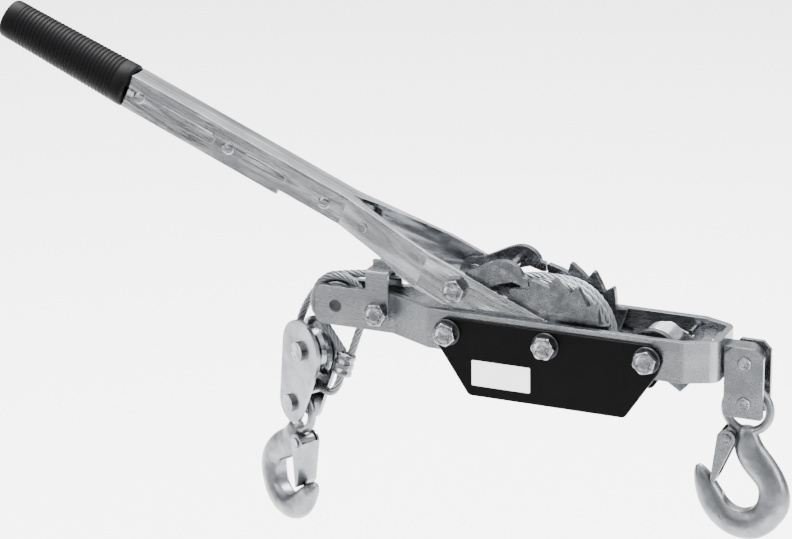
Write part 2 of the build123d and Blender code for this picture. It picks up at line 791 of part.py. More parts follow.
def lever_side(inset, reach):
    """The lever's side outline, shrunk by the inset."""
    with BuildSketch(Plane.XY) as outline:
        with BuildLine():
            Polyline((0, arm_top - inset), (0, -arm_drop + inset), (98, -arm_drop + inset), (118, -9.6 + inset),
                     (150, -waist + inset), (notch_x + inset, -waist + inset),
                     (notch_x + inset, -lever_half_height + inset), (core_start, -lever_half_height + inset),
                     (grip_start, -core_half_height + inset), (reach, -core_half_height + inset),
                     (reach, core_half_height - inset), (grip_start, core_half_height - inset),
                     (core_start, lever_half_height - inset), (120, arm_top - inset), close=True)
        make_face()
        with Locations((0, -(arm_drop - arm_end_r) / 2)):
            Circle(arm_end_r - inset)
    return outline.sketch


def front_half_from_above():
    """The front half seen from above: its outer face, then its flanges' edges back to the arm."""
    with BuildSketch(Plane.XY) as outline:
        with BuildLine():
            Polyline((-20, arm_outer), (fork_start, arm_outer), (fork_end, lever_half_depth),
                     (core_start, lever_half_depth), (grip_start, core_half_depth), (lever_length, core_half_depth),
                     (lever_length, 0), (fork_end, 0), (fork_end - 14, 5.0), (fork_start + 16, arm_outer - flange),
                     (fork_start, arm_inner), (-20, arm_inner), close=True)
        make_face()
    return outline.sketch


def hollow_from_above():
    """What the pressing leaves out behind its face, seen from above."""
    with BuildSketch(Plane.XY) as outline:
        with BuildLine():
            Polyline((-20, arm_inner), (fork_start, arm_inner), (fork_end, lever_half_depth - arm_thick),
                     (core_start, lever_half_depth - arm_thick), (grip_start, core_half_depth - arm_thick),
                     (lever_length, core_half_depth - arm_thick), (lever_length, -2), (-20, -2), close=True)
        make_face()
    return outline.sketch


def lever_point(along, up):
    """World X and Z of a point given along the lever and square to it."""
    return (along * lever_dir[0] + up * lever_up[0], along * lever_dir[2] + up * lever_up[2])


lever_reach = lever_length - 7.0
rib_height = 0.8
pivot_up = -1.0
outer_side = lever_side(0, lever_reach)
inner_side = lever_side(arm_thick, lever_length)
half_from_above = front_half_from_above()
space_from_above = hollow_from_above()
with BuildPart() as lever_hollow:
    with BuildSketch(lever_at(-frame_half)):
        add(inner_side)
    extrude(amount=frame_width)
    with BuildSketch(lever_top_plane.offset(-30)):
        add(space_from_above)
    extrude(amount=60, mode=Mode.INTERSECT)

with BuildPart() as lever_front_half:
    with BuildSketch(lever_at(-frame_half)):
        add(outer_side)
    extrude(amount=frame_half)
    with BuildSketch(lever_top_plane.offset(-30)):
        add(half_from_above)
    extrude(amount=60, mode=Mode.INTERSECT)
    add(lever_hollow.part, mode=Mode.SUBTRACT)
    with BuildSketch(lever_at(-lever_half_depth - rib_height)):
        for rib_x, rib_length in rib_places:
            with Locations((rib_x, 0)):
                SlotOverall(rib_length, 7.0)
    extrude(amount=rib_height)
    with BuildSketch(lever_at(-frame_half)):
        Circle(bore_r)
        with Locations((pawl_pivot_radius, pivot_up)):
            Circle(bolt_r + hole_clearance)
        with Locations((fork_cross_x, 0)):
            Circle(rivet_r + hole_clearance)
        for rivet_along in lever_rivet_places:
            with Locations((rivet_along, 0)):
                Circle(lever_rivet_r + hole_clearance)
    extrude(amount=frame_half, mode=Mode.SUBTRACT)
write("lever_front_half", lever_front_half.part)
write("lever_rear_half", mirror(lever_front_half.part, about=Plane.XZ))

rivet_head_r = 4.4
rivet_head_thick = 1.2
lever_rivets = []
for rivet_along in lever_rivet_places:
    with BuildPart() as lever_rivet:
        with BuildSketch(lever_at(-lever_half_depth - rivet_head_thick)):
            with Locations((rivet_along, 0)):
                Circle(lever_rivet_r)
        extrude(amount=2 * (lever_half_depth + rivet_head_thick))
        for head_y in (-lever_half_depth - rivet_head_thick, lever_half_depth):
            with BuildSketch(lever_at(head_y)):
                with Locations((rivet_along, 0)):
                    Circle(rivet_head_r)
            extrude(amount=rivet_head_thick)
    lever_rivets.append(lever_rivet.part)
write("lever_rivets", Compound(lever_rivets))

fork_pin_half = 12.6
with BuildPart() as fork_cross_pin:
    with BuildSketch(lever_at(-fork_pin_half)):
        with Locations((fork_cross_x, 0)):
            Circle(rivet_r)
    extrude(amount=2 * fork_pin_half)
    chamfer(fork_cross_pin.edges().filter_by(GeomType.CIRCLE), 0.5)
write("fork_cross_pin", fork_cross_pin.part)

# the grip: a taper with a smooth collar at each end and ribs between them
rib_proud = 0.9
collar_length = 7.0
grip_end_wall = 4.0
rib_pitch = (grip_length - 2 * collar_length) / grip_ribs
grip_plane = Plane(origin=(0, 0, 0), x_dir=lever_dir, z_dir=(0, 1, 0))
with BuildPart() as rubber_grip:
    with BuildSketch(grip_plane):
        with BuildLine():
            Polyline((grip_start, 0), (grip_start, grip_inner_r), (grip_start + collar_length, grip_inner_r),
                     (grip_start + collar_length, grip_inner_r - rib_proud),
                     (lever_length - collar_length, grip_outer_r - rib_proud),
                     (lever_length - collar_length, grip_outer_r), (lever_length, grip_outer_r),
                     (lever_length, 0), close=True)
        make_face()
        for k in range(grip_ribs):
            share = (k + 0.5) / grip_ribs
            rib_r = grip_inner_r + (grip_outer_r - grip_inner_r) * share
            with Locations((grip_start + collar_length + rib_pitch * (k + 0.5), (rib_r - rib_proud) / 2)):
                Rectangle(rib_pitch * 0.55, rib_r + rib_proud)
    revolve(axis=Axis((0, 0, 0), lever_dir))
    fillet(rubber_grip.edges().filter_by(GeomType.CIRCLE).sort_by(Axis((0, 0, 0), lever_dir))[-1], 2.0)
    with BuildSketch(grip_plane.offset(-core_half_depth)):
        with Locations(((grip_start + lever_length - grip_end_wall) / 2 - 1.5, 0)):
            Rectangle(grip_length - grip_end_wall + 3.0, 2 * core_half_height)
    extrude(amount=2 * core_half_depth, mode=Mode.SUBTRACT)
write("rubber_grip", rubber_grip.part)

# ---- drive pawls: two plates on their own shoulder bolts, a cross pin and a spring ---------------------
pawl_x, pawl_z = lever_point(pawl_pivot_radius, pivot_up)
pawl_hub_r = 10.0
cross_pin_x = -30.0
cross_pin_z = 38.5
cross_pin_r = 2.6


def drive_pawl_plate(y_front):
    """One drive pawl: a hub, a humped back and a nose in the teeth."""
    with BuildPart() as plate:
        with BuildSketch(side_at(y_front)) as outline:
            with BuildLine():
                back = Spline((pawl_x - 2, pawl_z + pawl_hub_r - 0.4), (-48.3, 38.6), (-36.2, 44.3), (-29.0, 45.6),
                              (-22.4, 43.2), (-18.0, 36.9))
                Polyline(back @ 1, (-15.1, 36.3), (-14.5, 31.4), (-17.5, 31.2), (-25.0, 33.4), (-33.0, 31.0),
                         (-42.0, 26.8), (pawl_x + 2, pawl_z - pawl_hub_r + 0.4), back @ 0)
            make_face()
            with Locations((pawl_x, pawl_z)):
                Circle(pawl_hub_r)
                Circle(bolt_r + hole_clearance, mode=Mode.SUBTRACT)
            with Locations((cross_pin_x, cross_pin_z)):
                Circle(cross_pin_r + hole_clearance, mode=Mode.SUBTRACT)
        extrude(amount=-ratchet_thick)
    return plate.part


write("front_drive_pawl", drive_pawl_plate(-ratchet_outer))
write("rear_drive_pawl", drive_pawl_plate(ratchet_inner))

with BuildPart() as pawl_cross_pin:
    with BuildSketch(side_at(-ratchet_outer - 0.15)):
        with Locations((cross_pin_x, cross_pin_z)):
            Circle(cross_pin_r)
    extrude(amount=-2 * (ratchet_outer + 0.15))
write("pawl_cross_pin", pawl_cross_pin.part)

boss_reach = 7.6
boss_flange_r = 5.6
boss_flange_thick = 1.0
pivot_bolts = []
for y_sign in (-1, 1):
    if y_sign < 0:
        head_plane = front_facing(pawl_x, pawl_z, -arm_outer, 20)
        flange_plane = front_facing(pawl_x, pawl_z, -ratchet_inner + 0.2 + boss_flange_thick)
    else:
        head_plane = rear_facing(pawl_x, pawl_z, arm_outer, 31)
        flange_plane = rear_facing(pawl_x, pawl_z, ratchet_inner - 0.2 - boss_flange_thick)
    with BuildPart() as pivot_bolt:
        with BuildSketch(head_plane):
            RegularPolygon(bolt_head_flats / 2, 6, major_radius=False)
        extrude(amount=bolt_head_height)
        with BuildSketch(head_plane):
            Circle(bolt_r)
        extrude(amount=-(arm_outer - ratchet_inner + boss_reach))
        with BuildSketch(flange_plane):
            Circle(boss_flange_r)
        extrude(amount=boss_flange_thick)
    pivot_bolts.append(pivot_bolt.part)
write("pawl_pivot_bolts", Compound(pivot_bolts))

drive_wire = 1.3
drive_coil_r = bolt_r + 0.5
drive_coil_mid_y = -(ratchet_inner - boss_flange_thick - 3.4)
coil_top = pawl_z + drive_coil_r + drive_wire / 2


def drive_spring():
    """The coil on the front pivot's boss, one leg under the cross pin and one back to the arm."""
    with BuildPart() as coil:
        with BuildSketch(side_at(drive_coil_mid_y - 2.6)):
            with Locations((pawl_x, pawl_z)):
                Circle(drive_coil_r + drive_wire)
                Circle(drive_coil_r, mode=Mode.SUBTRACT)
        extrude(amount=-5.2)
        for end in ((cross_pin_x - 3.6, drive_coil_mid_y, cross_pin_z + 1.0), (pawl_x - 17.0, drive_coil_mid_y, 39.0)):
            start = (pawl_x, drive_coil_mid_y, coil_top)
            with BuildLine() as leg:
                Line(start, end)
            with BuildSketch(Plane(origin=start, z_dir=leg.line % 0)):
                Circle(drive_wire / 2)
            sweep(path=leg.line)
    return coil.part


write("drive_pawl_spring", drive_spring())


# ---- wire rope -------------------------------------------------------------------------------------
def rope_tube(points, wrap_radii):
    """A rope as straight runs joined by tangent arcs; a wrap's own radius is used where it is given."""
    runs = [Vector(*b) - Vector(*a) for a, b in zip(points, points[1:])]
    radii = []
    for k, (run_in, run_out) in enumerate(zip(runs, runs[1:])):
        half_turn = math.radians(run_in.get_angle(run_out)) / 2
        widest = 0.45 * min(run_in.length, run_out.length) / math.tan(half_turn)
        radii.append(min(widest, wrap_radii.get(k + 1, widest)))
    with BuildPart() as tube:
        with BuildLine() as route:
            FilletPolyline(*points, radius=radii)
        with BuildSketch(Plane(origin=points[0], z_dir=route.wires()[0] % 0)):
            Circle(rope_r)
        sweep(path=route.wires()[0])
    length = route.wires()[0].length
    print("rope radii", [round(r, 1) for r in radii], "length", round(length, 1),
          "volume ratio", round(tube.part.volume / (math.pi * rope_r ** 2 * length), 4))
    return tube.part


run_points = [(13.3, 0.0, 31.1), (4.9, 0.0, 34.7), (-45.0, 0.6, 29.0), (-98.0, 2.2, 22.0), (-116.0, 2.6, 20.0)]
fall_points = [(-116.4, 2.6, 20.0), (-149.1, 2.7, 16.2), (-155.9, 2.7, 11.5), (-170.8, 4.9, -8.2),
               (-180.1, 9.6, -34.1), (-174.1, 5.8, -48.7), (-150.9, -8.5, -59.0), (-141.2, -12.9, -53.4),
               (-139.4, -10.9, -43.9)]
eye_points = [(-139.0, -8.0, -30.0), (-153.9, -2.8, -14.0), (-162.2, -2.7, -3.6), (-155.4, -2.7, 15.2),
              (-135.5, -2.7, 18.1), (-123.5, -2.7, 2.1), (-129.5, -2.8, -17.5), (-133.8, -8.0, -31.0)]
write("rope_run", rope_tube(run_points, {}))
write("rope_fall", rope_tube(fall_points, {}))
write("rope_eye", rope_tube(eye_points, {}))

ferrule_axis = Vector(-136.4, -8.0, -30.5) - Vector(-139.4, -10.9, -43.9)
ferrule_plane = Plane(origin=(-139.4, -10.9, -43.9), x_dir=(1, -0.2, -0.2), z_dir=ferrule_axis.normalized())
with BuildPart() as ferrule:
    with BuildSketch(ferrule_plane):
        RectangleRounded(12.8, 8.4, 3.4)
    extrude(amount=ferrule_axis.length)
write("ferrule", ferrule.part)
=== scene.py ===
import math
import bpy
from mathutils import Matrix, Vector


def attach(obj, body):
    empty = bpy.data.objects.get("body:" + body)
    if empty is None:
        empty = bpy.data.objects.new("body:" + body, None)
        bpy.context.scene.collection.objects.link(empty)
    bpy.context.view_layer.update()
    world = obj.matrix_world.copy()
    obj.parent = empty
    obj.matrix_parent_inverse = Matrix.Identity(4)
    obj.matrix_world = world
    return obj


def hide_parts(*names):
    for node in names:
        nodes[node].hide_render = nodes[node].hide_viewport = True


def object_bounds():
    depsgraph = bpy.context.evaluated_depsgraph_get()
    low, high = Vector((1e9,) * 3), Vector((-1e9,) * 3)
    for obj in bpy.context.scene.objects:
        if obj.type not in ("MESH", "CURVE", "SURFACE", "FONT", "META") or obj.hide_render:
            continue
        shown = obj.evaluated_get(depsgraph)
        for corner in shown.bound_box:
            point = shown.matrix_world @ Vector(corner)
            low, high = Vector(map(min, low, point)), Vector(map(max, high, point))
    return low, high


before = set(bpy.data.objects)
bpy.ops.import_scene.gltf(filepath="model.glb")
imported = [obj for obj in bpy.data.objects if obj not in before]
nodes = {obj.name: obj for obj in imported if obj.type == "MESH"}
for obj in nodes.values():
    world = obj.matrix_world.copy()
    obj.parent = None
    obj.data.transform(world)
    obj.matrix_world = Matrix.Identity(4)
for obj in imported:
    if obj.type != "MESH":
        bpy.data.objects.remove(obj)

# %% [markdown]
# # A come along winch
# A hand puller that winds wire rope onto a toothed drum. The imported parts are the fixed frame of
# the whole scene: most plates, hooks and wheels keep their own shape and get a finish. The rope,
# the springs, the grip, the ferrule and the fasteners are built here, because their real shape is
# finer than a solid part needs to be.

MM = 0.001
packed_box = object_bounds()
print("packed box", [list(corner) for corner in packed_box])


AXLE = Vector((-113.3, 0.0, 84.8))


def row(x, y, z):
    """A point measured in millimetres from the middle of the drum's axle, in the scene's metres."""
    return (AXLE + Vector((x, y, z))) * MM


# %% [markdown]
# ## Helpers for node trees
# Shader trees and geometry trees are built the same way: add a node, set its options, and give
# each input a number or a link. One function does all of that, and a second one turns the hex
# colours people write down into the linear values the shader works in.

# %% One function adds a node, one reads a colour
def add(tree, kind, inputs=None, **options):
    """Adds a node; an input's value is a number, a vector, a colour, or a socket to link from."""
    made = tree.nodes.new(kind)
    for option, value in options.items():
        setattr(made, option, value)
    for socket, value in (inputs or {}).items():
        if isinstance(value, bpy.types.NodeSocket):
            tree.links.new(value, made.inputs[socket])
        else:
            made.inputs[socket].default_value = value
    return made


def linear(hex_colour):
    """An sRGB hex colour as linear RGBA."""
    channels = [int(hex_colour[i:i + 2], 16) / 255 for i in (1, 3, 5)]
    return [c / 12.92 if c <= 0.04045 else ((c + 0.055) / 1.055) ** 2.4 for c in channels] + [1.0]


print("white is", linear("#ffffff"))

# %% [markdown]
# ## Metal finishes
# Nearly all of the puller is mild steel with bright zinc plating. Plating keeps the marks of the
# sheet under it: long rolling lines, soft cloudy patches where the bath left it brighter or
# duller, and edges that the stamping press and handling have rubbed bright. So one recipe makes
# every metal here, and only its colours, roughness and mark sizes change. Three noises do it. A
# wide one gives the clouds. One that is stretched along the rolling direction gives the lines. A
# third one is smooth and wide, and tilts the surface a little, because pressed sheet is never flat
# and its reflections bend.

# %% One recipe for all the metals
def metal(name, light, dark, smooth, rough, cloud_mm, line_mm, stretch, depth_mm, wave=(10, 1.0),
          tilt=0.0, edge_mm=0.5):
    """A metal with cloudy patches, rolling lines and waves (their width and depth in mm).

    tilt turns the lines and the waves about Y, in degrees.
    """
    material = bpy.data.materials.new(name)
    material.use_nodes = True
    tree = material.node_tree
    shader = tree.nodes["Principled BSDF"]
    shader.inputs["Metallic"].default_value = 1.0
    place = add(tree, "ShaderNodeTexCoord").outputs["Object"]
    clouds = add(tree, "ShaderNodeTexNoise",
                 {"Vector": place, "Scale": 1 / (cloud_mm * MM), "Detail": 3.0, "Roughness": 0.55})
    turned = add(tree, "ShaderNodeMapping",
                 {"Vector": place, "Rotation": (0, math.radians(tilt), 0), "Scale": (stretch, 1, 1)},
                 vector_type="TEXTURE")
    lines = add(tree, "ShaderNodeTexNoise",
                {"Vector": turned.outputs[0], "Scale": 1 / (line_mm * MM), "Detail": 4.0, "Roughness": 0.6})
    long_way = add(tree, "ShaderNodeMapping",
                   {"Vector": place, "Rotation": (0, math.radians(tilt), 0),
                    "Scale": (max(1.0, stretch / 4), 1, 1)},
                   vector_type="TEXTURE")
    waves = add(tree, "ShaderNodeTexNoise",
                {"Vector": long_way.outputs[0], "Scale": 1 / (wave[0] * MM), "Detail": 1.0, "Roughness": 0.4})
    patch = add(tree, "ShaderNodeMapRange",
                {"Value": clouds.outputs["Fac"], "From Min": 0.35, "From Max": 0.65, "To Min": 0.0,
                 "To Max": 1.0})
    colour = add(tree, "ShaderNodeMix", {0: patch.outputs[0], 6: linear(light), 7: linear(dark)},
                 data_type="RGBA")
    streak = add(tree, "ShaderNodeMath", {0: lines.outputs["Fac"], 1: clouds.outputs["Fac"]}, operation="ADD")
    gloss = add(tree, "ShaderNodeMapRange", {"Value": streak.outputs[0], "From Min": 0.7, "From Max": 1.3,
                                             "To Min": smooth, "To Max": rough})
    edge = add(tree, "ShaderNodeBevel", {"Radius": edge_mm * MM}, samples=4)
    sway = add(tree, "ShaderNodeBump", {"Height": waves.outputs["Fac"], "Distance": wave[1] * MM,
                                        "Strength": 1.0, "Normal": edge.outputs[0]})
    bump = add(tree, "ShaderNodeBump", {"Height": lines.outputs["Fac"], "Distance": depth_mm * MM,
                                        "Strength": 0.6, "Normal": sway.outputs[0]})
    tree.links.new(colour.outputs[2], shader.inputs["Base Color"])
    tree.links.new(gloss.outputs[0], shader.inputs["Roughness"])
    tree.links.new(bump.outputs[0], shader.inputs["Normal"])
    return material


print("the metal recipe is ready")

# %% The metals of the puller
# rolled strip: lines run along the frame
zinc_strip = metal("zinc_plated_rolled_strip", "#86888b", "#76787b", 0.20, 0.32, 26, 0.5, 30, 0.05,
                   wave=(16, 0.5))
# flat plates were stamped from wider sheet, so their marks run less far
zinc_plate = metal("zinc_plated_flat_plate", "#85878a", "#6e7073", 0.20, 0.32, 14, 0.5, 2, 0.05,
                   wave=(18, 0.7))
# the lever's sheet was rolled along the lever, which leans 23.3 degrees
zinc_lever = metal("zinc_plated_pressed_sheet", "#a0a2a5", "#86888b", 0.08, 0.20, 24, 0.6, 25, 0.06,
                   wave=(20, 3.6),
                   tilt=23.3)
# turned and headed fasteners have no rolling lines, only a fine mottle
zinc_turned = metal("zinc_plated_turned_steel", "#8e9093", "#6c6e71", 0.12, 0.24, 5, 0.4, 1, 0.03,
                    wave=(3, 0.2),
                    edge_mm=0.25)
# ratchet wheels and pawls are thicker stampings with a duller, darker plate
hard_steel = metal("dull_plated_hardened_steel", "#707275", "#545659", 0.20, 0.34, 8, 0.5, 1.5, 0.06,
                   wave=(8, 0.9))
# pins and washers are oil-blackened
oiled_steel = metal("oil_blackened_steel", "#4a4b4e", "#323335", 0.26, 0.40, 4, 0.4, 1, 0.03, wave=(4, 0.2),
                    edge_mm=0.25)
# forged hooks keep the fine grit of the forge under the plating
forged_zinc = metal("zinc_plated_forging", "#77797c", "#66686b", 0.26, 0.38, 9, 0.9, 1, 0.12, wave=(7, 0.5),
                    edge_mm=0.8)
spring_wire = metal("bright_drawn_spring_wire", "#96989b", "#7c7e81", 0.12, 0.22, 2, 0.3, 1, 0.02,
                    wave=(3, 0.05),
                    edge_mm=0.1)


print("metals:", len(bpy.data.materials))

# %% [markdown]
# ## Wire rope
# The rope has six strands laid round a core, and each strand is itself a bundle of thin wires. The
# strands are real geometry. The wires are about 0.3 mm thick, which is finer than the render can
# show, so they are a ripple across each strand at about 0.5 mm, read from two values that the
# strand carries with it: how far along it a point is, and how far round. The ripple also turns the
# colour nearly black in the grooves between the wires, which is painted shade.

# %% Rope steel, with its wires and painted shade in the grooves between them
rope_steel = bpy.data.materials.new("bright_wire_rope_steel")
rope_steel.use_nodes = True
tree = rope_steel.node_tree
shader = tree.nodes["Principled BSDF"]
shader.inputs["Metallic"].default_value = 1.0
WIRES_ROUND = 7
WIRE_LEAD_M = 0.012
along = add(tree, "ShaderNodeAttribute", attribute_name="along")
around = add(tree, "ShaderNodeAttribute", attribute_name="around")
turns_along = add(tree, "ShaderNodeMath", {0: along.outputs["Fac"], 1: WIRES_ROUND / WIRE_LEAD_M},
                  operation="MULTIPLY")
turns_around = add(tree, "ShaderNodeMath", {0: around.outputs["Fac"], 1: WIRES_ROUND}, operation="MULTIPLY")
turns = add(tree, "ShaderNodeMath", {0: turns_along.outputs[0], 1: turns_around.outputs[0]}, operation="ADD")
phase = add(tree, "ShaderNodeMath", {0: turns.outputs[0], 1: 2 * math.pi}, operation="MULTIPLY")
ripple = add(tree, "ShaderNodeMath", {0: phase.outputs[0]}, operation="SINE")
# painted shade: the colour goes nearly black in the troughs of the ripple, the grooves between the wires
painted_groove_shade = add(tree, "ShaderNodeMapRange", {"Value": ripple.outputs[0], "From Min": -1.0, "From Max": 0.6,
                                         "To Min": 0.0, "To Max": 1.0})
colour = add(tree, "ShaderNodeMix", {0: painted_groove_shade.outputs[0], 6: linear("#1e1f21"), 7: linear("#8e9093")},
             data_type="RGBA")
bump = add(tree, "ShaderNodeBump", {"Height": ripple.outputs[0], "Distance": 0.06 * MM, "Strength": 0.8})
tree.links.new(colour.outputs[2], shader.inputs["Base Color"])
tree.links.new(bump.outputs[0], shader.inputs["Normal"])
shader.inputs["Roughness"].default_value = 0.30
print("wires show about", round(2 * math.pi * 0.83 / WIRES_ROUND, 2), "mm apart")

# %% [markdown]
# ## Paint, rubber and the label
# The covers are stoved black paint: nearly smooth, with the slight orange peel of sprayed paint.
# The grip is moulded rubber, which is duller and has a fine spark-eroded grain.
# The label is a plain white film.

# %% Non-metals from one recipe
def coated(name, light, dark, smooth, rough, cloud_mm, grain_mm, depth_mm, edge_mm):
    """Paint, rubber or film: cloudy colour, and a fine grain in its surface."""
    material = bpy.data.materials.new(name)
    material.use_nodes = True
    tree = material.node_tree
    shader = tree.nodes["Principled BSDF"]
    shader.inputs["IOR"].default_value = 1.5
    shader.inputs["Specular IOR Level"].default_value = 0.07
    place = add(tree, "ShaderNodeTexCoord").outputs["Object"]
    clouds = add(tree, "ShaderNodeTexNoise",
                 {"Vector": place, "Scale": 1 / (cloud_mm * MM), "Detail": 4.0, "Roughness": 0.6})
    grain = add(tree, "ShaderNodeTexNoise",
                {"Vector": place, "Scale": 1 / (grain_mm * MM), "Detail": 2.0, "Roughness": 0.5})
    colour = add(tree, "ShaderNodeMix", {0: clouds.outputs["Fac"], 6: linear(light), 7: linear(dark)},
                 data_type="RGBA")
    gloss = add(tree, "ShaderNodeMapRange", {"Value": clouds.outputs["Fac"], "From Min": 0.3, "From Max": 0.7,
                                             "To Min": smooth, "To Max": rough})
    edge = add(tree, "ShaderNodeBevel", {"Radius": edge_mm * MM}, samples=4)
    bump = add(tree, "ShaderNodeBump", {"Height": grain.outputs["Fac"], "Distance": depth_mm * MM,
                                        "Strength": 0.5, "Normal": edge.outputs[0]})
    tree.links.new(colour.outputs[2], shader.inputs["Base Color"])
    tree.links.new(gloss.outputs[0], shader.inputs["Roughness"])
    tree.links.new(bump.outputs[0], shader.inputs["Normal"])
    return material


black_enamel = coated("stoved_black_enamel", "#040405", "#020203", 0.30, 0.42, 25, 1.2, 0.03, 0.5)
black_rubber = coated("moulded_black_rubber", "#080809", "#040405", 0.42, 0.56, 9, 0.5, 0.06, 0.3)
white_film = coated("white_label_film", "#f6f6f6", "#eeeeee", 0.30, 0.38, 12, 0.8, 0.01, 0.1)
print("materials now:", len(bpy.data.materials))

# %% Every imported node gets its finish
FINISHES = {
    zinc_strip: ("frame_strap", "keeper_bracket", "backing_plate"),
    zinc_plate: ("front_link_plate", "rear_link_plate", "front_block_cheek", "rear_block_cheek",
                 "anchor_latch",
                 "load_latch"),
    zinc_lever: ("lever_front_half", "lever_rear_half"),
    oiled_steel: ("frame_washers", "roller_pin"),
    zinc_turned: ("upper_link_pin", "lower_link_pin", "drum_axle_sleeve", "stop_pawl_sleeve", "drum_hub",
                  "drum_rivets",
                  "spring_anchor_rivet", "guide_roller", "keeper_sleeve", "tongue_nut",
                  "anchor_latch_rivet", "load_latch_rivet", "sheave",
                  "sheave_pin", "block_hook_pin", "block_spacers", "fork_cross_pin", "pawl_cross_pin"),
    hard_steel: ("front_ratchet_wheel", "rear_ratchet_wheel", "stop_pawl", "front_drive_pawl",
                 "rear_drive_pawl", "anchor_tongue"),
    forged_zinc: ("anchor_hook", "load_hook"),
    black_enamel: ("front_cover_plate", "rear_cover_plate"),
    white_film: ("cover_label",),
}
for material, names in FINISHES.items():
    for name in names:
        for slot in nodes[name].material_slots:
            slot.material = material
print("finished nodes", sum(len(names) for names in FINISHES.values()))

# %% [markdown]
# ## Meshes from rings
# Turned, headed and pressed pieces are a stack of rings with a skin between them. The ring's
# outline says what the piece is: a circle for a pin, a hexagon for a bolt head, a rounded oval for
# a pressed ferrule. A face closes each end, so every piece is watertight.

# %% Skinning a stack of rings
def skin(name, rings, material):
    """A closed mesh over a stack of rings that all have the same number of points."""
    count = len(rings[0])
    points = [point for ring in rings for point in ring]
    faces = [tuple(reversed(range(count)))]
    for k in range(len(rings) - 1):
        low, high = k * count, (k + 1) * count
        faces += [(low + i, low + (i + 1) % count, high + (i + 1) % count, high + i) for i in range(count)]
    faces.append(tuple(range(len(points) - count, len(points))))
    mesh = bpy.data.meshes.new(name)
    mesh.from_pydata([tuple(p) for p in points], [], faces)
    mesh.validate()
    mesh.materials.append(material)
    made = bpy.data.objects.new(name, mesh)
    bpy.context.scene.collection.objects.link(made)
    return made


def lathe(name, profile, centre, axis, side, material, segments=64):
    """Rings round an axis, from (distance along the axis, radius) pairs in millimetres."""
    other = axis.cross(side)
    rings = []
    for reach, radius in profile:
        middle = centre + axis * (reach * MM)
        rings.append([middle + (side * math.cos(a) + other * math.sin(a)) * (radius * MM)
                      for a in (2 * math.pi * k / segments for k in range(segments))])
    return skin(name, rings, material)


def smooth_and_bevel(piece, width_mm, angle=35.0):
    """A small rounded edge on every sharp corner, then smooth shading."""
    for face in piece.data.polygons:
        face.use_smooth = True
    rounding = piece.modifiers.new("edge_rounding", "BEVEL")
    rounding.width = width_mm * MM
    rounding.segments = 2
    rounding.limit_method = "ANGLE"
    rounding.angle_limit = math.radians(angle)
    rounding.harden_normals = True
    return piece


def settled(piece, name):
    """The piece with its modifiers applied, as a plain mesh object of that name."""
    graph = bpy.context.evaluated_depsgraph_get()
    mesh = bpy.data.meshes.new_from_object(piece.evaluated_get(graph), depsgraph=graph)
    bpy.data.objects.remove(piece)
    made = bpy.data.objects.new(name, mesh)
    bpy.context.scene.collection.objects.link(made)
    print(name, len(mesh.polygons), "faces")
    return made


# %% [markdown]
# ## Fasteners
# The puller is held by M8 hex bolts whose heads are dished in the middle, as cheap headed bolts
# are. One head and one nut are modelled, and a geometry tree copies them to every place. A place
# is a loose vertex that carries the turn of its fastener, so that the hexes aren't all alike.

# %% The outline of a hexagon, and one bolt head
FLATS = 13.0
HEAD_HEIGHT = 5.3
NUT_HEIGHT = 6.5
BOLT_R = 4.0
AROUND = 72


def hexagon(height, scale=1.0, cap=None):
    """A hexagon standing off the plane Y = 0. A cap radius cuts its corners round, as a chamfer does."""
    ring = []
    for k in range(AROUND):
        angle = 2 * math.pi * k / AROUND
        fold = (angle + math.pi / 6) % (math.pi / 3) - math.pi / 6
        radius = FLATS / 2 * scale / math.cos(fold)
        if cap:
            radius = min(radius, cap)
        ring.append(Vector((radius * math.cos(angle), -height, radius * math.sin(angle))) * MM)
    return ring


def disc(height, radius):
    """A circle standing off the plane Y = 0."""
    return [Vector((radius * math.cos(2 * math.pi * k / AROUND), -height,
                    radius * math.sin(2 * math.pi * k / AROUND)))
            * MM for k in range(AROUND)]


def facing_out(rings):
    """Each ring backwards, for a stack that grows towards the front."""
    return [list(reversed(ring)) for ring in rings]


head_rings = facing_out([disc(0, 6.2), hexagon(0.3, cap=7.2), hexagon(0.6), hexagon(HEAD_HEIGHT - 0.9),
                         hexagon(HEAD_HEIGHT - 0.45, cap=7.0), disc(HEAD_HEIGHT, 6.1), disc(HEAD_HEIGHT, 4.7),
                         disc(HEAD_HEIGHT - 0.35, 4.2), disc(HEAD_HEIGHT - 0.9, 3.6),
                         disc(HEAD_HEIGHT - 1.0, 1.0)])
nut_rings = facing_out([disc(0, 6.1), hexagon(0.45, cap=7.0), hexagon(0.9), hexagon(NUT_HEIGHT - 0.9),
                        hexagon(NUT_HEIGHT - 0.45, cap=7.0), disc(NUT_HEIGHT, 6.1), disc(NUT_HEIGHT, 4.6),
                        disc(NUT_HEIGHT - 0.6, BOLT_R)])
THREAD_PITCH = 1.25
THREAD_DEPTH = 0.45


def shank_rings(start, end, thread_from):
    """A bolt's shank along Y, with thread from one place to its end."""
    rings = [disc(start, 0.5), disc(start, BOLT_R), disc(thread_from, BOLT_R)]
    reach = thread_from
    while reach - THREAD_PITCH > end:
        rings += [disc(reach - 0.25 * THREAD_PITCH, BOLT_R - THREAD_DEPTH),
                  disc(reach - 0.75 * THREAD_PITCH, BOLT_R)]
        reach -= THREAD_PITCH
    rings += [disc(end + 0.5, BOLT_R - 0.1), disc(end, BOLT_R - 0.8), disc(end, 0.5)]
    return rings


print("bolt head", FLATS, "mm across the flats and", HEAD_HEIGHT, "mm high")

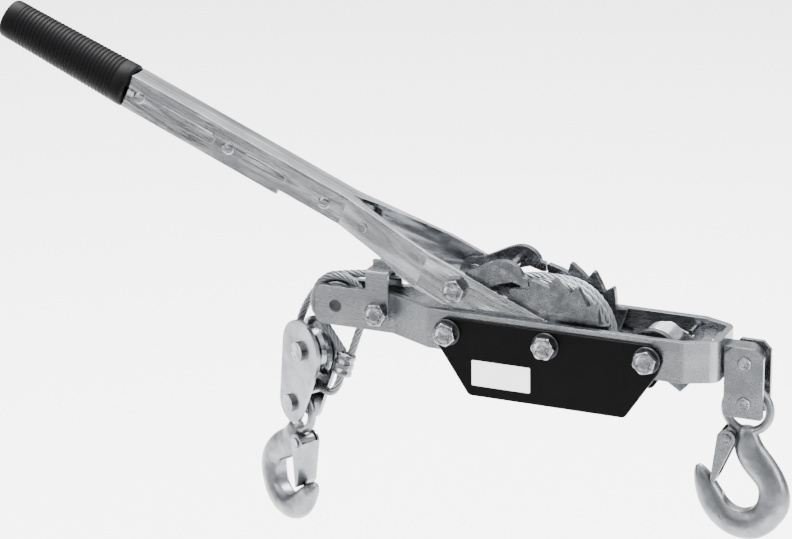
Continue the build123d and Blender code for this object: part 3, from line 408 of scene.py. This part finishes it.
# %% A geometry tree that copies one shape to many places
places_tree = bpy.data.node_groups.new("fasteners_at_places", "GeometryNodeTree")
for label, kind in (("Places", "Geometry"), ("Fastener", "Object"), ("Finish", "Material")):
    places_tree.interface.new_socket(label, in_out="INPUT", socket_type="NodeSocket" + kind)
places_tree.interface.new_socket("Fasteners", in_out="OUTPUT", socket_type="NodeSocketGeometry")
given = add(places_tree, "NodeGroupInput")
shape = add(places_tree, "GeometryNodeObjectInfo", {"Object": given.outputs["Fastener"]})
aim = add(places_tree, "GeometryNodeInputNamedAttribute", {"Name": "aim"}, data_type="FLOAT_VECTOR")
turn = add(places_tree, "FunctionNodeEulerToRotation", {0: aim.outputs["Attribute"]})
points = add(places_tree, "GeometryNodeMeshToPoints", {"Mesh": given.outputs["Places"]})
copies = add(places_tree, "GeometryNodeInstanceOnPoints",
             {"Points": points.outputs[0], "Instance": shape.outputs["Geometry"],
              "Rotation": turn.outputs[0]})
real = add(places_tree, "GeometryNodeRealizeInstances", {0: copies.outputs[0]})
coloured = add(places_tree, "GeometryNodeSetMaterial",
               {"Geometry": real.outputs[0], "Material": given.outputs["Finish"]})
add(places_tree, "NodeGroupOutput", {0: coloured.outputs[0]})


def with_tree(name, mesh, tree, inputs):
    """An object that runs a geometry tree, with each named input set, turned into a plain mesh."""
    carrier = bpy.data.objects.new(name + "_carrier", mesh)
    bpy.context.scene.collection.objects.link(carrier)
    run = carrier.modifiers.new("tree", "NODES")
    run.node_group = tree
    for item in tree.interface.items_tree:
        if item.in_out == "INPUT" and item.name in inputs:
            run[item.identifier] = inputs[item.name]
    return settled(carrier, name)


def copies_at(name, template, places, finish):
    """Copies of a template at (point, Euler turn) places."""
    mesh = bpy.data.meshes.new(name + "_places")
    mesh.from_pydata([tuple(point) for point, _ in places], [], [])
    aims = mesh.attributes.new("aim", "FLOAT_VECTOR", "POINT")
    for k, (_, angles) in enumerate(places):
        aims.data[k].vector = angles
    return with_tree(name, mesh, places_tree, {"Fastener": template, "Finish": finish})


print("the tree that copies fasteners has", len(places_tree.nodes), "nodes")

# %% Frame bolts, nuts and the other hexes
COVER_OUTER = 26.0
WASHER = 1.5
BOLT_PITCH = 62.5
TAIL = 4.0
BACK = math.pi
head = smooth_and_bevel(skin("head_template", head_rings, zinc_turned), 0.2)
nut = smooth_and_bevel(skin("nut_template", nut_rings, zinc_turned), 0.2)
bolt_face = COVER_OUTER + WASHER
shank_end = -(2 * bolt_face + NUT_HEIGHT + TAIL)
long_shank = skin("long_shank", facing_out(list(reversed(shank_rings(0.2, shank_end, shank_end + 16)))),
                  zinc_turned)
turns = [math.radians(-(12 + 17 * k)) for k in range(3)]
columns = (-BOLT_PITCH, 0.0, BOLT_PITCH)


def join(name, *pieces):
    """Several mesh objects made one."""
    with bpy.context.temp_override(active_object=pieces[0], selected_editable_objects=list(pieces)):
        bpy.ops.object.join()
    pieces[0].name = name
    pieces[0].data.name = name
    return pieces[0]


bolt_heads = copies_at("bolt_heads", head,
                       [(row(x, -bolt_face, 0), (0, a, 0)) for x, a in zip(columns, turns)], zinc_turned)
bolt_shanks = copies_at("bolt_shanks", long_shank, [(row(x, -bolt_face, 0), (0, 0, 0)) for x in columns],
                        zinc_turned)
hex_bolts = join("hex_bolts", bolt_heads, bolt_shanks)
hex_nuts = copies_at("hex_nuts", nut,
                     [(row(x, bolt_face, 0), (0, a, BACK)) for x, a in zip(columns, turns)], zinc_turned)
for piece, node in ((hex_bolts, "frame_bolts"), (hex_nuts, "frame_nuts")):
    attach(piece, "frame")
    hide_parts(node)


print("frame bolts at", columns)

# %% [markdown]
# ## The keeper's bolt and the pawls' pivots
# The bracket that keeps the rope on its roller hangs on a bolt of its own, through the neck of the
# frame. The two drive pawls turn on short shoulder bolts in the lever's arms, one from each side,
# which leave the room between them free for the rope. They reuse the same head.

# %% Keeper bolt and nut, and the pawl pivots
KEEPER_X = -114.2
KEEPER_HALF = 12.2
keeper_end = -(2 * KEEPER_HALF + NUT_HEIGHT + TAIL)
keeper_shank = skin("keeper_shank",
                    facing_out(list(reversed(shank_rings(0.2, keeper_end, keeper_end + 12)))), zinc_turned)
keeper_head = copies_at("keeper_head", head, [(row(KEEPER_X, -KEEPER_HALF, 0), (0, 0.5, 0))], zinc_turned)
keeper_rod = copies_at("keeper_rod", keeper_shank, [(row(KEEPER_X, -KEEPER_HALF, 0), (0, 0, 0))], zinc_turned)
keeper_bolt = join("keeper_hex_bolt", keeper_head, keeper_rod)
keeper_nut = copies_at("keeper_hex_nut", nut, [(row(KEEPER_X, KEEPER_HALF, 0), (0, 0.2, BACK))], zinc_turned)
for piece, node in ((keeper_bolt, "keeper_bolt"), (keeper_nut, "keeper_nut")):
    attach(piece, "frame")
    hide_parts(node)

PIVOT = (-60.1, 24.8)
ARM_OUTER = 19.6
pivot_rod = skin("pivot_rod",
                 facing_out([disc(-14.4, 0.5), disc(-14.4, BOLT_R), disc(0.2, BOLT_R), disc(0.2, 0.5)]),
                 zinc_turned)
flange = skin("pivot_flange",
              facing_out([disc(-8.0, 0.5), disc(-8.0, 5.2), disc(-7.7, 5.6), disc(-7.1, 5.6),
                          disc(-7.0, 0.5)]), zinc_turned)
sides = [(row(PIVOT[0], -ARM_OUTER, PIVOT[1]), (0, 0.35, 0)),
         (row(PIVOT[0], ARM_OUTER, PIVOT[1]), (0, 0.2, BACK))]
pivots = join("pawl_pivots", copies_at("pivot_heads", head, sides, zinc_turned),
              copies_at("pivot_rods", pivot_rod, sides, zinc_turned),
              copies_at("pivot_flanges", flange, sides, zinc_turned))
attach(pivots, "lever")
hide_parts("pawl_pivot_bolts")
print("the keeper's bolt is at x", KEEPER_X)

# %% [markdown]
# ## Lever rivets
# Three rivets hold the lever's two pressed halves together. Their heads are low domes that were
# pressed cold, so the rim is a soft curve and not a sharp edge. One dome is turned and then copied
# to both ends of each rivet.

# %% Rivets through the lever
LEVER_ANGLE = math.radians(23.3)
LEVER_HALF_DEPTH = 8.0
along_lever = Vector((-math.cos(LEVER_ANGLE), 0, math.sin(LEVER_ANGLE)))
square_to_lever = Vector((math.sin(LEVER_ANGLE), 0, math.cos(LEVER_ANGLE)))


def on_lever(reach, y=0.0, up=0.0):
    """A point on the lever: its distance out from the drum's axle, and its height off the middle line."""
    return row(0, y, 0) + (along_lever * reach + square_to_lever * up) * MM


DOME = [(-LEVER_HALF_DEPTH, 0.4), (-LEVER_HALF_DEPTH, 2.6), (0.0, 2.6), (0.0, 4.0), (0.3, 4.0), (0.7, 3.5),
        (1.0, 2.6),
        (1.15, 1.4), (1.2, 0.3)]
dome = skin("dome_template", facing_out([disc(reach, radius) for reach, radius in DOME]), zinc_turned)
smooth_and_bevel(dome, 0.1)
rivet_places = []
for reach in (163.0, 232.0, 297.0):
    rivet_places += [(on_lever(reach, -LEVER_HALF_DEPTH), (0, 0, 0)),
                     (on_lever(reach, LEVER_HALF_DEPTH), (0, 0, BACK))]
rivets = copies_at("domed_rivets", dome, rivet_places, zinc_turned)
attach(rivets, "lever")
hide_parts("lever_rivets")
print("rivet heads:", len(rivet_places))

# %% [markdown]
# ## The grip
# The grip is a rubber sleeve pushed over the lever's end, a little thicker towards the drum. It has
# a plain collar at each end and close ribs between, and its closed end is rounded. It is turned
# from a profile, where each rib is a small half-round, so the ribs are real and catch the light.
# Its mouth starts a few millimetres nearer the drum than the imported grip's, to cover the lever's
# taper.

# %% Turning the grip
GRIP_START = 307.5
GRIP_END = 399.0
COLLAR = 9.0
RIBS = 28
THICK, THIN = 14.0, 12.4
RIB_DEPTH = 0.75
rib_pitch = (GRIP_END - GRIP_START - 2 * COLLAR) / RIBS


def grip_r(reach):
    """The grip's radius over its ribs."""
    return THICK + (THIN - THICK) * (reach - GRIP_START) / (GRIP_END - GRIP_START)


profile = [(GRIP_START + 2.0, 8.5), (GRIP_START + 0.1, 9.0), (GRIP_START, THICK - 1.2),
           (GRIP_START + 0.3, THICK - 0.4),
           (GRIP_START + 1.0, THICK), (GRIP_START + COLLAR - 0.6, grip_r(GRIP_START + COLLAR)),
           (GRIP_START + COLLAR - 0.1, grip_r(GRIP_START + COLLAR) - 0.3)]
for k in range(RIBS):
    start = GRIP_START + COLLAR + k * rib_pitch
    for share, depth in ((0.0, 1.0), (0.12, 0.95), (0.28, 0.4), (0.42, 0.08), (0.58, 0.0), (0.74, 0.08),
                         (0.88, 0.4), (0.97, 0.85)):
        reach = start + share * rib_pitch
        profile.append((reach, grip_r(reach) - RIB_DEPTH * depth))
end_r = grip_r(GRIP_END - COLLAR)
profile += [(GRIP_END - COLLAR + 0.1, end_r - 0.3), (GRIP_END - COLLAR + 0.6, end_r), (GRIP_END - 2.6, THIN)]
profile += [(GRIP_END - 2.6 + 2.6 * math.sin(a), THIN - 2.6 * (1 - math.cos(a)))
            for a in (0.3, 0.6, 0.9, 1.2, 1.5)]
profile += [(GRIP_END, 6.0), (GRIP_END, 0.6)]
grip = lathe("ribbed_grip", profile, row(0, 0, 0), along_lever, Vector((0, 1, 0)), black_rubber, segments=96)
for face in grip.data.polygons:
    face.use_smooth = True
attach(grip, "lever")
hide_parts("rubber_grip")
print("rib pitch", round(rib_pitch, 2), "mm")

# %% [markdown]
# ## Springs
# Each pawl is pushed home by a torsion spring: close turns round an axle, and two straight legs
# that push. The wire's middle line is a row of points, and a geometry tree gives it a round
# section. The turns are a helix, so they are worked out and not drawn.

# %% A tree that gives a line a round section
wire_tree = bpy.data.node_groups.new("round_wire", "GeometryNodeTree")
for label, kind in (("Line", "Geometry"), ("Radius", "Float"), ("Finish", "Material")):
    wire_tree.interface.new_socket(label, in_out="INPUT", socket_type="NodeSocket" + kind)
wire_tree.interface.new_socket("Wire", in_out="OUTPUT", socket_type="NodeSocketGeometry")
given = add(wire_tree, "NodeGroupInput")
line = add(wire_tree, "GeometryNodeMeshToCurve", {0: given.outputs["Line"]})
section = add(wire_tree, "GeometryNodeCurvePrimitiveCircle",
              {"Resolution": 14, "Radius": given.outputs["Radius"]})
solid = add(wire_tree, "GeometryNodeCurveToMesh",
            {"Curve": line.outputs[0], "Profile Curve": section.outputs[0],
                                                    "Fill Caps": True})
soft = add(wire_tree, "GeometryNodeSetShadeSmooth", {0: solid.outputs[0]})
real = add(wire_tree, "GeometryNodeRealizeInstances", {0: soft.outputs[0]})
coloured = add(wire_tree, "GeometryNodeSetMaterial",
               {"Geometry": real.outputs[0], "Material": given.outputs["Finish"]})
add(wire_tree, "NodeGroupOutput", {0: coloured.outputs[0]})


def line_mesh(name, points):
    """A mesh of one open line through the points."""
    mesh = bpy.data.meshes.new(name)
    mesh.from_pydata([tuple(p) for p in points], [(k, k + 1) for k in range(len(points) - 1)], [])
    return mesh


def turns_round(x, z, y_from, y_to, radius, count, start_deg):
    """Points of a helix round an axle along Y, in millimetres."""
    steps = int(count * 28)
    found = []
    for k in range(steps + 1):
        share = k / steps
        angle = math.radians(start_deg) + 2 * math.pi * count * share
        found.append(row(x + radius * math.cos(angle), y_from + (y_to - y_from) * share,
                         z + radius * math.sin(angle)))
    return found


print("the wire tree has", len(wire_tree.nodes), "nodes")

# %% The stop pawl's spring and the drive pawls' spring
STOP_WIRE = 1.4
stop_turns = turns_round(BOLT_PITCH, 0, -7.6, 7.6, 12.1, 6.5, 270)
stop_line = [row(79.2, -7.6, -15.6)] + stop_turns + [row(79.6, 7.6, 5.0)]
stop_spring = with_tree("stop_pawl_coil", line_mesh("stop_line", stop_line), wire_tree,
                        {"Radius": STOP_WIRE / 2 * MM, "Finish": spring_wire})
DRIVE_WIRE = 1.3
drive_turns = turns_round(PIVOT[0], PIVOT[1], -10.4, -6.4, 5.15, 3.0, 90)
drive_line = [row(-77.1, -10.4, 38.6)] + drive_turns + [row(-34.0, -6.4, 38.6)]
drive_spring = with_tree("drive_pawl_coil", line_mesh("drive_line", drive_line), wire_tree,
                         {"Radius": DRIVE_WIRE / 2 * MM, "Finish": spring_wire})
for piece, body, node in ((stop_spring, "frame", "stop_pawl_spring"),
                          (drive_spring, "lever", "drive_pawl_spring")):
    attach(piece, body)
    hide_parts(node)


print("spring wires", STOP_WIRE, "and", DRIVE_WIRE, "mm")

# %% [markdown]
# ## Laying the rope
# A stranded rope is a rule, so a geometry tree makes it: the route is copied once for each strand,
# every copy is pushed sideways by an amount that turns as it goes along, and each one gets a round
# section. A plain core fills the middle. Each strand stores how far along and how far round its
# points are, for the ripple of wires in its finish.

# %% The rope tree
rope_tree = bpy.data.node_groups.new("stranded_rope", "GeometryNodeTree")
for label, kind in (("Route", "Geometry"), ("Strands", "Int"), ("Strand radius", "Float"),
                    ("Lay radius", "Float"),
                    ("Lay length", "Float"), ("Step", "Float"), ("Finish", "Material")):
    rope_tree.interface.new_socket(label, in_out="INPUT", socket_type="NodeSocket" + kind)
rope_tree.interface.new_socket("Rope", in_out="OUTPUT", socket_type="NodeSocketGeometry")
given = add(rope_tree, "NodeGroupInput")
route = add(rope_tree, "GeometryNodeMeshToCurve", {0: given.outputs["Route"]})
even = add(rope_tree, "GeometryNodeResampleCurve",
           {"Curve": route.outputs[0], "Length": given.outputs["Step"]}, mode="LENGTH")
strands = add(rope_tree, "GeometryNodeDuplicateElements",
              {"Geometry": even.outputs[0], "Amount": given.outputs["Strands"]}, domain="SPLINE")
reach = add(rope_tree, "GeometryNodeSplineParameter").outputs["Length"]
tangent = add(rope_tree, "GeometryNodeInputTangent").outputs[0]
normal = add(rope_tree, "GeometryNodeInputNormal").outputs[0]
binormal = add(rope_tree, "ShaderNodeVectorMath", {0: tangent, 1: normal},
               operation="CROSS_PRODUCT").outputs[0]
lays = add(rope_tree, "ShaderNodeMath", {0: reach, 1: given.outputs["Lay length"]},
           operation="DIVIDE").outputs[0]
share = add(rope_tree, "ShaderNodeMath", {0: strands.outputs["Duplicate Index"], 1: given.outputs["Strands"]},
            operation="DIVIDE").outputs[0]
whole = add(rope_tree, "ShaderNodeMath", {0: lays, 1: share}, operation="ADD").outputs[0]
angle = add(rope_tree, "ShaderNodeMath", {0: whole, 1: 2 * math.pi}, operation="MULTIPLY").outputs[0]
cosine = add(rope_tree, "ShaderNodeMath", {0: angle}, operation="COSINE").outputs[0]
sine = add(rope_tree, "ShaderNodeMath", {0: angle}, operation="SINE").outputs[0]
one_way = add(rope_tree, "ShaderNodeVectorMath", {0: normal, "Scale": cosine}, operation="SCALE").outputs[0]
other_way = add(rope_tree, "ShaderNodeVectorMath", {0: binormal, "Scale": sine}, operation="SCALE").outputs[0]
outwards = add(rope_tree, "ShaderNodeVectorMath", {0: one_way, 1: other_way}, operation="ADD").outputs[0]
push = add(rope_tree, "ShaderNodeVectorMath", {0: outwards, "Scale": given.outputs["Lay radius"]},
           operation="SCALE").outputs[0]
marked = add(rope_tree, "GeometryNodeStoreNamedAttribute",
             {"Geometry": strands.outputs["Geometry"], "Name": "along", "Value": reach}, data_type="FLOAT",
             domain="POINT")
laid = add(rope_tree, "GeometryNodeSetPosition", {"Geometry": marked.outputs[0], "Offset": push})
section = add(rope_tree, "GeometryNodeCurvePrimitiveCircle",
              {"Resolution": 10, "Radius": given.outputs["Strand radius"]})
round_share = add(rope_tree, "GeometryNodeSplineParameter").outputs["Factor"]
marked_section = add(rope_tree, "GeometryNodeStoreNamedAttribute",
                     {"Geometry": section.outputs[0], "Name": "around", "Value": round_share},
                     data_type="FLOAT", domain="POINT")
strand_mesh = add(rope_tree, "GeometryNodeCurveToMesh",
                  {"Curve": laid.outputs[0], "Profile Curve": marked_section.outputs[0], "Fill Caps": True})
core_mesh = add(rope_tree, "GeometryNodeCurveToMesh",
                {"Curve": even.outputs[0], "Profile Curve": section.outputs[0], "Fill Caps": True})
both = add(rope_tree, "GeometryNodeJoinGeometry", {0: strand_mesh.outputs[0]})
rope_tree.links.new(core_mesh.outputs[0], both.inputs[0])
soft = add(rope_tree, "GeometryNodeSetShadeSmooth", {0: both.outputs[0]})
real = add(rope_tree, "GeometryNodeRealizeInstances", {0: soft.outputs[0]})
coloured = add(rope_tree, "GeometryNodeSetMaterial",
               {"Geometry": real.outputs[0], "Material": given.outputs["Finish"]})
add(rope_tree, "NodeGroupOutput", {0: coloured.outputs[0]})
print("the rope tree has", len(rope_tree.nodes), "nodes")

# %% [markdown]
# ## The rope's route
# The rope comes off the drum's top, under the keeper and over the guide roller, down round the
# block's sheave, and back up into a pressed ferrule whose eye hangs on the roller. Each part of the
# route is a smooth NURBS line, with the route's corners as its control points.

# %% Three routes and the rope on them
ROPE_D = 5.0
STRAND_R = 0.86
LAY_R = ROPE_D / 2 - STRAND_R
rope_sizes = {"Strands": 6, "Strand radius": STRAND_R * MM, "Lay radius": LAY_R * MM, "Lay length": 26.0 * MM,
              "Step": 1.0 * MM, "Finish": rope_steel}
RUN = ((13.3, 0.0, 31.1), (4.9, 0.0, 34.7), (-45.0, 0.6, 29.0), (-98.0, 2.2, 22.0), (-116.0, 2.6, 20.0))
FALL = ((-116.4, 2.6, 20.0), (-149.1, 2.7, 16.2), (-155.9, 2.7, 11.5), (-170.8, 4.9, -8.2),
        (-180.1, 9.6, -34.1),
        (-174.1, 5.8, -48.7), (-150.9, -8.5, -59.0), (-141.2, -12.9, -53.4), (-139.4, -10.9, -43.9))
EYE = ((-139.0, -8.0, -30.0), (-153.9, -2.8, -14.0), (-162.2, -2.7, -3.6), (-155.4, -2.7, 15.2),
       (-135.5, -2.7, 18.1), (-123.5, -2.7, 2.1), (-129.5, -2.8, -14.0), (-133.8, -8.0, -31.0))


def route_mesh(name, corners):
    """The smooth line of a NURBS route, as a mesh of one line."""
    curve = bpy.data.curves.new(name, "CURVE")
    curve.dimensions = "3D"
    curve.resolution_u = 24
    spline = curve.splines.new("NURBS")
    spline.points.add(len(corners) - 1)
    for point, corner in zip(spline.points, corners):
        point.co = (*row(*corner), 1.0)
    spline.order_u = 3
    spline.use_endpoint_u = True
    holder = bpy.data.objects.new(name, curve)
    bpy.context.scene.collection.objects.link(holder)
    graph = bpy.context.evaluated_depsgraph_get()
    mesh = bpy.data.meshes.new_from_object(holder.evaluated_get(graph), depsgraph=graph)
    bpy.data.objects.remove(holder)
    length = sum((mesh.vertices[a].co - mesh.vertices[b].co).length for a,
                 b in (e.vertices for e in mesh.edges))
    print(name, "length", round(length / MM, 1), "mm")
    return mesh


for name, corners, body, node in (("stranded_run", RUN, "frame", "rope_run"),
                                  ("stranded_fall", FALL, "block", "rope_fall"),
                                  ("stranded_eye", EYE, "block", "rope_eye")):
    piece = with_tree(name, route_mesh(name + "_route", corners), rope_tree, rope_sizes)
    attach(piece, body)
    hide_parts(node)

# %% [markdown]
# ## The rope on the drum
# The drum holds neat turns side by side. The last turns lie in the outer layer and stop where the
# rope leaves for the roller. The turns under them are worked out as a helix too, and what no one
# can see below is a plain core.

# %% Winding the drum
LEAVE = math.atan2(31.1, 13.3)
OUTER_R, INNER_R = 33.3, 28.4
SIDE_Y = 9.7


def winding(y_from, y_to, radius_from, radius_to, count, start):
    """Points of rope wound on the drum, going over the top towards the frame's right end."""
    steps = int(count * 60)
    found = []
    for k in range(steps + 1):
        share = k / steps
        angle = start - 2 * math.pi * count * share
        radius = radius_from + (radius_to - radius_from) * share
        found.append(row(radius * math.cos(angle), y_from + (y_to - y_from) * share,
                         radius * math.sin(angle)))
    return found


wound_line = winding(0.0, -5.0, 33.8, OUTER_R, 1.0, LEAVE) + winding(-5.0, -9.7, OUTER_R, OUTER_R, 1.0,
                                                                     LEAVE)[1:]
wound_line += winding(-SIDE_Y, -SIDE_Y, OUTER_R, INNER_R, 0.4, LEAVE)[1:]
wound_line += winding(-SIDE_Y, SIDE_Y, INNER_R, INNER_R, 4.0, LEAVE - 0.8 * math.pi)[1:]
wound_line += winding(SIDE_Y, SIDE_Y, INNER_R, INNER_R, 0.8, LEAVE - 0.8 * math.pi)[1:]
wound = with_tree("wound_turns", line_mesh("wound_line", wound_line), rope_tree,
                  {**rope_sizes, "Step": 1.4 * MM})
core = lathe("wound_core", [(-12.4, 22.2), (-12.4, 25.6), (12.4, 25.6), (12.4, 22.2)], row(0, 0, 0),
             Vector((0, 1, 0)),
             Vector((1, 0, 0)), rope_steel)
wound = join("wound_turns", wound, core)
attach(wound, "drum")
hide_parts("wound_rope")
print("the drum's line has", len(wound_line), "points")

# %% [markdown]
# ## The ferrule
# The eye is closed by a soft metal sleeve that was crushed round both legs of the rope. Crushing
# leaves a rounded oval with shallow ring marks from the press, and lips at both mouths.

# %% Pressing the ferrule
foot, top = row(-139.4, -10.9, -43.9), row(-136.4, -8.0, -30.5)
ferrule_axis = (top - foot).normalized()
wide = (Vector((1, -0.2, -0.2)) - ferrule_axis * Vector((1, -0.2, -0.2)).dot(ferrule_axis)).normalized()
thick = ferrule_axis.cross(wide)
ferrule_length = (top - foot).length / MM
rings = []
for share, scale in ((0.0, 0.62), (0.0, 0.90), (0.04, 0.97), (0.10, 1.0), (0.20, 1.0), (0.26, 0.93),
                     (0.33, 0.93),
                     (0.39, 1.0), (0.61, 1.0), (0.67, 0.93), (0.74, 0.93), (0.80, 1.0), (0.90, 1.0),
                     (0.96, 0.97),
                     (1.0, 0.90), (1.0, 0.62)):
    ring = []
    for k in range(48):
        a = 2 * math.pi * k / 48
        flatten = 0.78
        across = 6.4 * scale * math.copysign(abs(math.cos(a)) ** flatten, math.cos(a))
        deep = 4.2 * scale * math.copysign(abs(math.sin(a)) ** flatten, math.sin(a))
        ring.append(foot + ferrule_axis * (share * ferrule_length * MM) + (wide * across + thick * deep) * MM)
    rings.append(ring)
ferrule = skin("pressed_ferrule", rings, zinc_turned)
for face in ferrule.data.polygons:
    face.use_smooth = True
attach(ferrule, "block")
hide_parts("ferrule")
print("the ferrule is", round((top - foot).length / MM, 1), "mm between its ends")

# %% Templates aren't part of the object
for template in (head, nut, long_shank, keeper_shank, pivot_rod, flange, dome):
    bpy.data.objects.remove(template)


print("templates removed")

# %% [markdown]
# ## Studio
# The puller floats above a pale floor. Bright metal shows what stands round it more than its own
# colour, so the room matters. The sky is bright above and dark at the horizon, with one broad soft
# light above and two small ones at the sides. Black cards lie on the floor in front. The camera
# doesn't see them, but the upright plates reflect them, and get their dark side from them.

# %% The floor
FLOOR_SIZE = 30.0
FLOOR_DROP = 0.34
bpy.ops.mesh.primitive_plane_add(size=FLOOR_SIZE, location=(0, 0, packed_box[0][2] - FLOOR_DROP))
floor = bpy.context.object
floor.name = "studio_floor"
pale = bpy.data.materials.new("matt_white_floor_paint")
pale.use_nodes = True
pale.node_tree.nodes["Principled BSDF"].inputs["Base Color"].default_value = linear("#f7f7f7")
pale.node_tree.nodes["Principled BSDF"].inputs["Roughness"].default_value = 0.9
floor.data.materials.append(pale)
print("the floor is", FLOOR_DROP, "m below the puller")

# %% The sky
DARK_UP_TO, BRIGHT_FROM = 0.10, 0.62
SKY_STRENGTH = 3.0
world = bpy.data.worlds.new("studio")
bpy.context.scene.world = world
world.use_nodes = True
tree = world.node_tree
tree.nodes.clear()
direction = add(tree, "ShaderNodeTexCoord").outputs["Generated"]
height = add(tree, "ShaderNodeSeparateXYZ", {0: direction}).outputs["Z"]
sky = add(tree, "ShaderNodeMapRange",
          {"Value": height, "From Min": DARK_UP_TO, "From Max": BRIGHT_FROM, "To Min": 0.0, "To Max": 1.0})
tone = add(tree, "ShaderNodeMix", {0: sky.outputs[0], 6: linear("#1c1d1f"), 7: linear("#ffffff")},
           data_type="RGBA")
glow = add(tree, "ShaderNodeBackground", {"Color": tone.outputs[2], "Strength": SKY_STRENGTH})
add(tree, "ShaderNodeOutputWorld", {0: glow.outputs[0]})
print("the sky is dark up to", DARK_UP_TO, "and bright from", BRIGHT_FROM)


# %% Soft lights
def soft_light(name, place, target, width, height, power):
    """A rectangular area light that faces a point."""
    light = bpy.data.lights.new(name, "AREA")
    light.shape = "RECTANGLE"
    light.size, light.size_y, light.energy = width, height, power
    lamp = bpy.data.objects.new(name, light)
    lamp.location = place
    lamp.rotation_euler = (Vector(target) - Vector(place)).to_track_quat("-Z", "Y").to_euler()
    bpy.context.scene.collection.objects.link(lamp)


middle = (packed_box[0] + packed_box[1]) / 2
soft_light("top_light", middle + Vector((-0.1, 0.6, 2.2)), middle, 2.6, 1.8, 420)
soft_light("front_light", middle + Vector((-1.2, -1.6, 0.55)), middle, 0.7, 1.0, 12)
soft_light("right_light", middle + Vector((1.7, -0.5, 0.5)), middle, 0.5, 1.2, 25)
print("three soft lights")

# %% Black cards to reflect
# Each card is a reach in metres from the middle of the puller, and a width in metres
CARD_LENGTH = 3.4
CARD_LIFT = 0.002
CAMERA_AZIMUTH = math.radians(23.8)
TOWARDS_CARDS = Vector((-0.404, -0.915, 0))
CARDS = ((0.80, 0.34), (1.42, 0.50), (2.35, 0.90))
black_paper = bpy.data.materials.new("matt_black_card")
black_paper.use_nodes = True
black_paper.node_tree.nodes["Principled BSDF"].inputs["Base Color"].default_value = linear("#0b0b0c")
black_paper.node_tree.nodes["Principled BSDF"].inputs["Roughness"].default_value = 1.0
for number, (reach, width) in enumerate(CARDS):
    spot = middle + TOWARDS_CARDS * reach
    bpy.ops.mesh.primitive_plane_add(size=1,
                                     location=(spot.x, spot.y, floor.location.z + CARD_LIFT * (number + 1)))
    card = bpy.context.object
    card.name = "black_card_" + str(number)
    card.scale = (CARD_LENGTH, width, 1)
    card.rotation_euler = (0, 0, -CAMERA_AZIMUTH)
    card.data.materials.append(black_paper)
    card.visible_camera = False
    card.visible_shadow = False
    card.visible_diffuse = False
print(len(CARDS), "black cards")

# %% [markdown]
# ## Camera
# A long lens from the front and a little above and to the right, so that parallel edges stay
# nearly parallel.

# %% Placing the camera
BACKWARDS = Vector((0.3805, -0.8612, 0.3369)).normalized()
ROLL = math.radians(-0.85)
SENSOR_MM = 36.0
DISTANCE_PER_WIDTH = 3069 / 792
level = Vector((-BACKWARDS.y, BACKWARDS.x, 0)).normalized()
upright = BACKWARDS.cross(level)
right = level * math.cos(ROLL) + upright * math.sin(ROLL)
up = upright * math.cos(ROLL) - level * math.sin(ROLL)
camera = bpy.data.cameras.new("camera")
camera.sensor_width = SENSOR_MM
camera.lens = SENSOR_MM * DISTANCE_PER_WIDTH
camera.clip_start, camera.clip_end = 0.05, 60.0
viewer = bpy.data.objects.new("camera", camera)
place = row(597.9, -1594.3, 648.6)
viewer.matrix_world = Matrix(((right.x, up.x, BACKWARDS.x, place.x), (right.y, up.y, BACKWARDS.y, place.y),
                              (right.z, up.z, BACKWARDS.z, place.z), (0, 0, 0, 1)))
bpy.context.scene.collection.objects.link(viewer)
bpy.context.scene.camera = viewer
print("lens", round(camera.lens, 1), "mm")
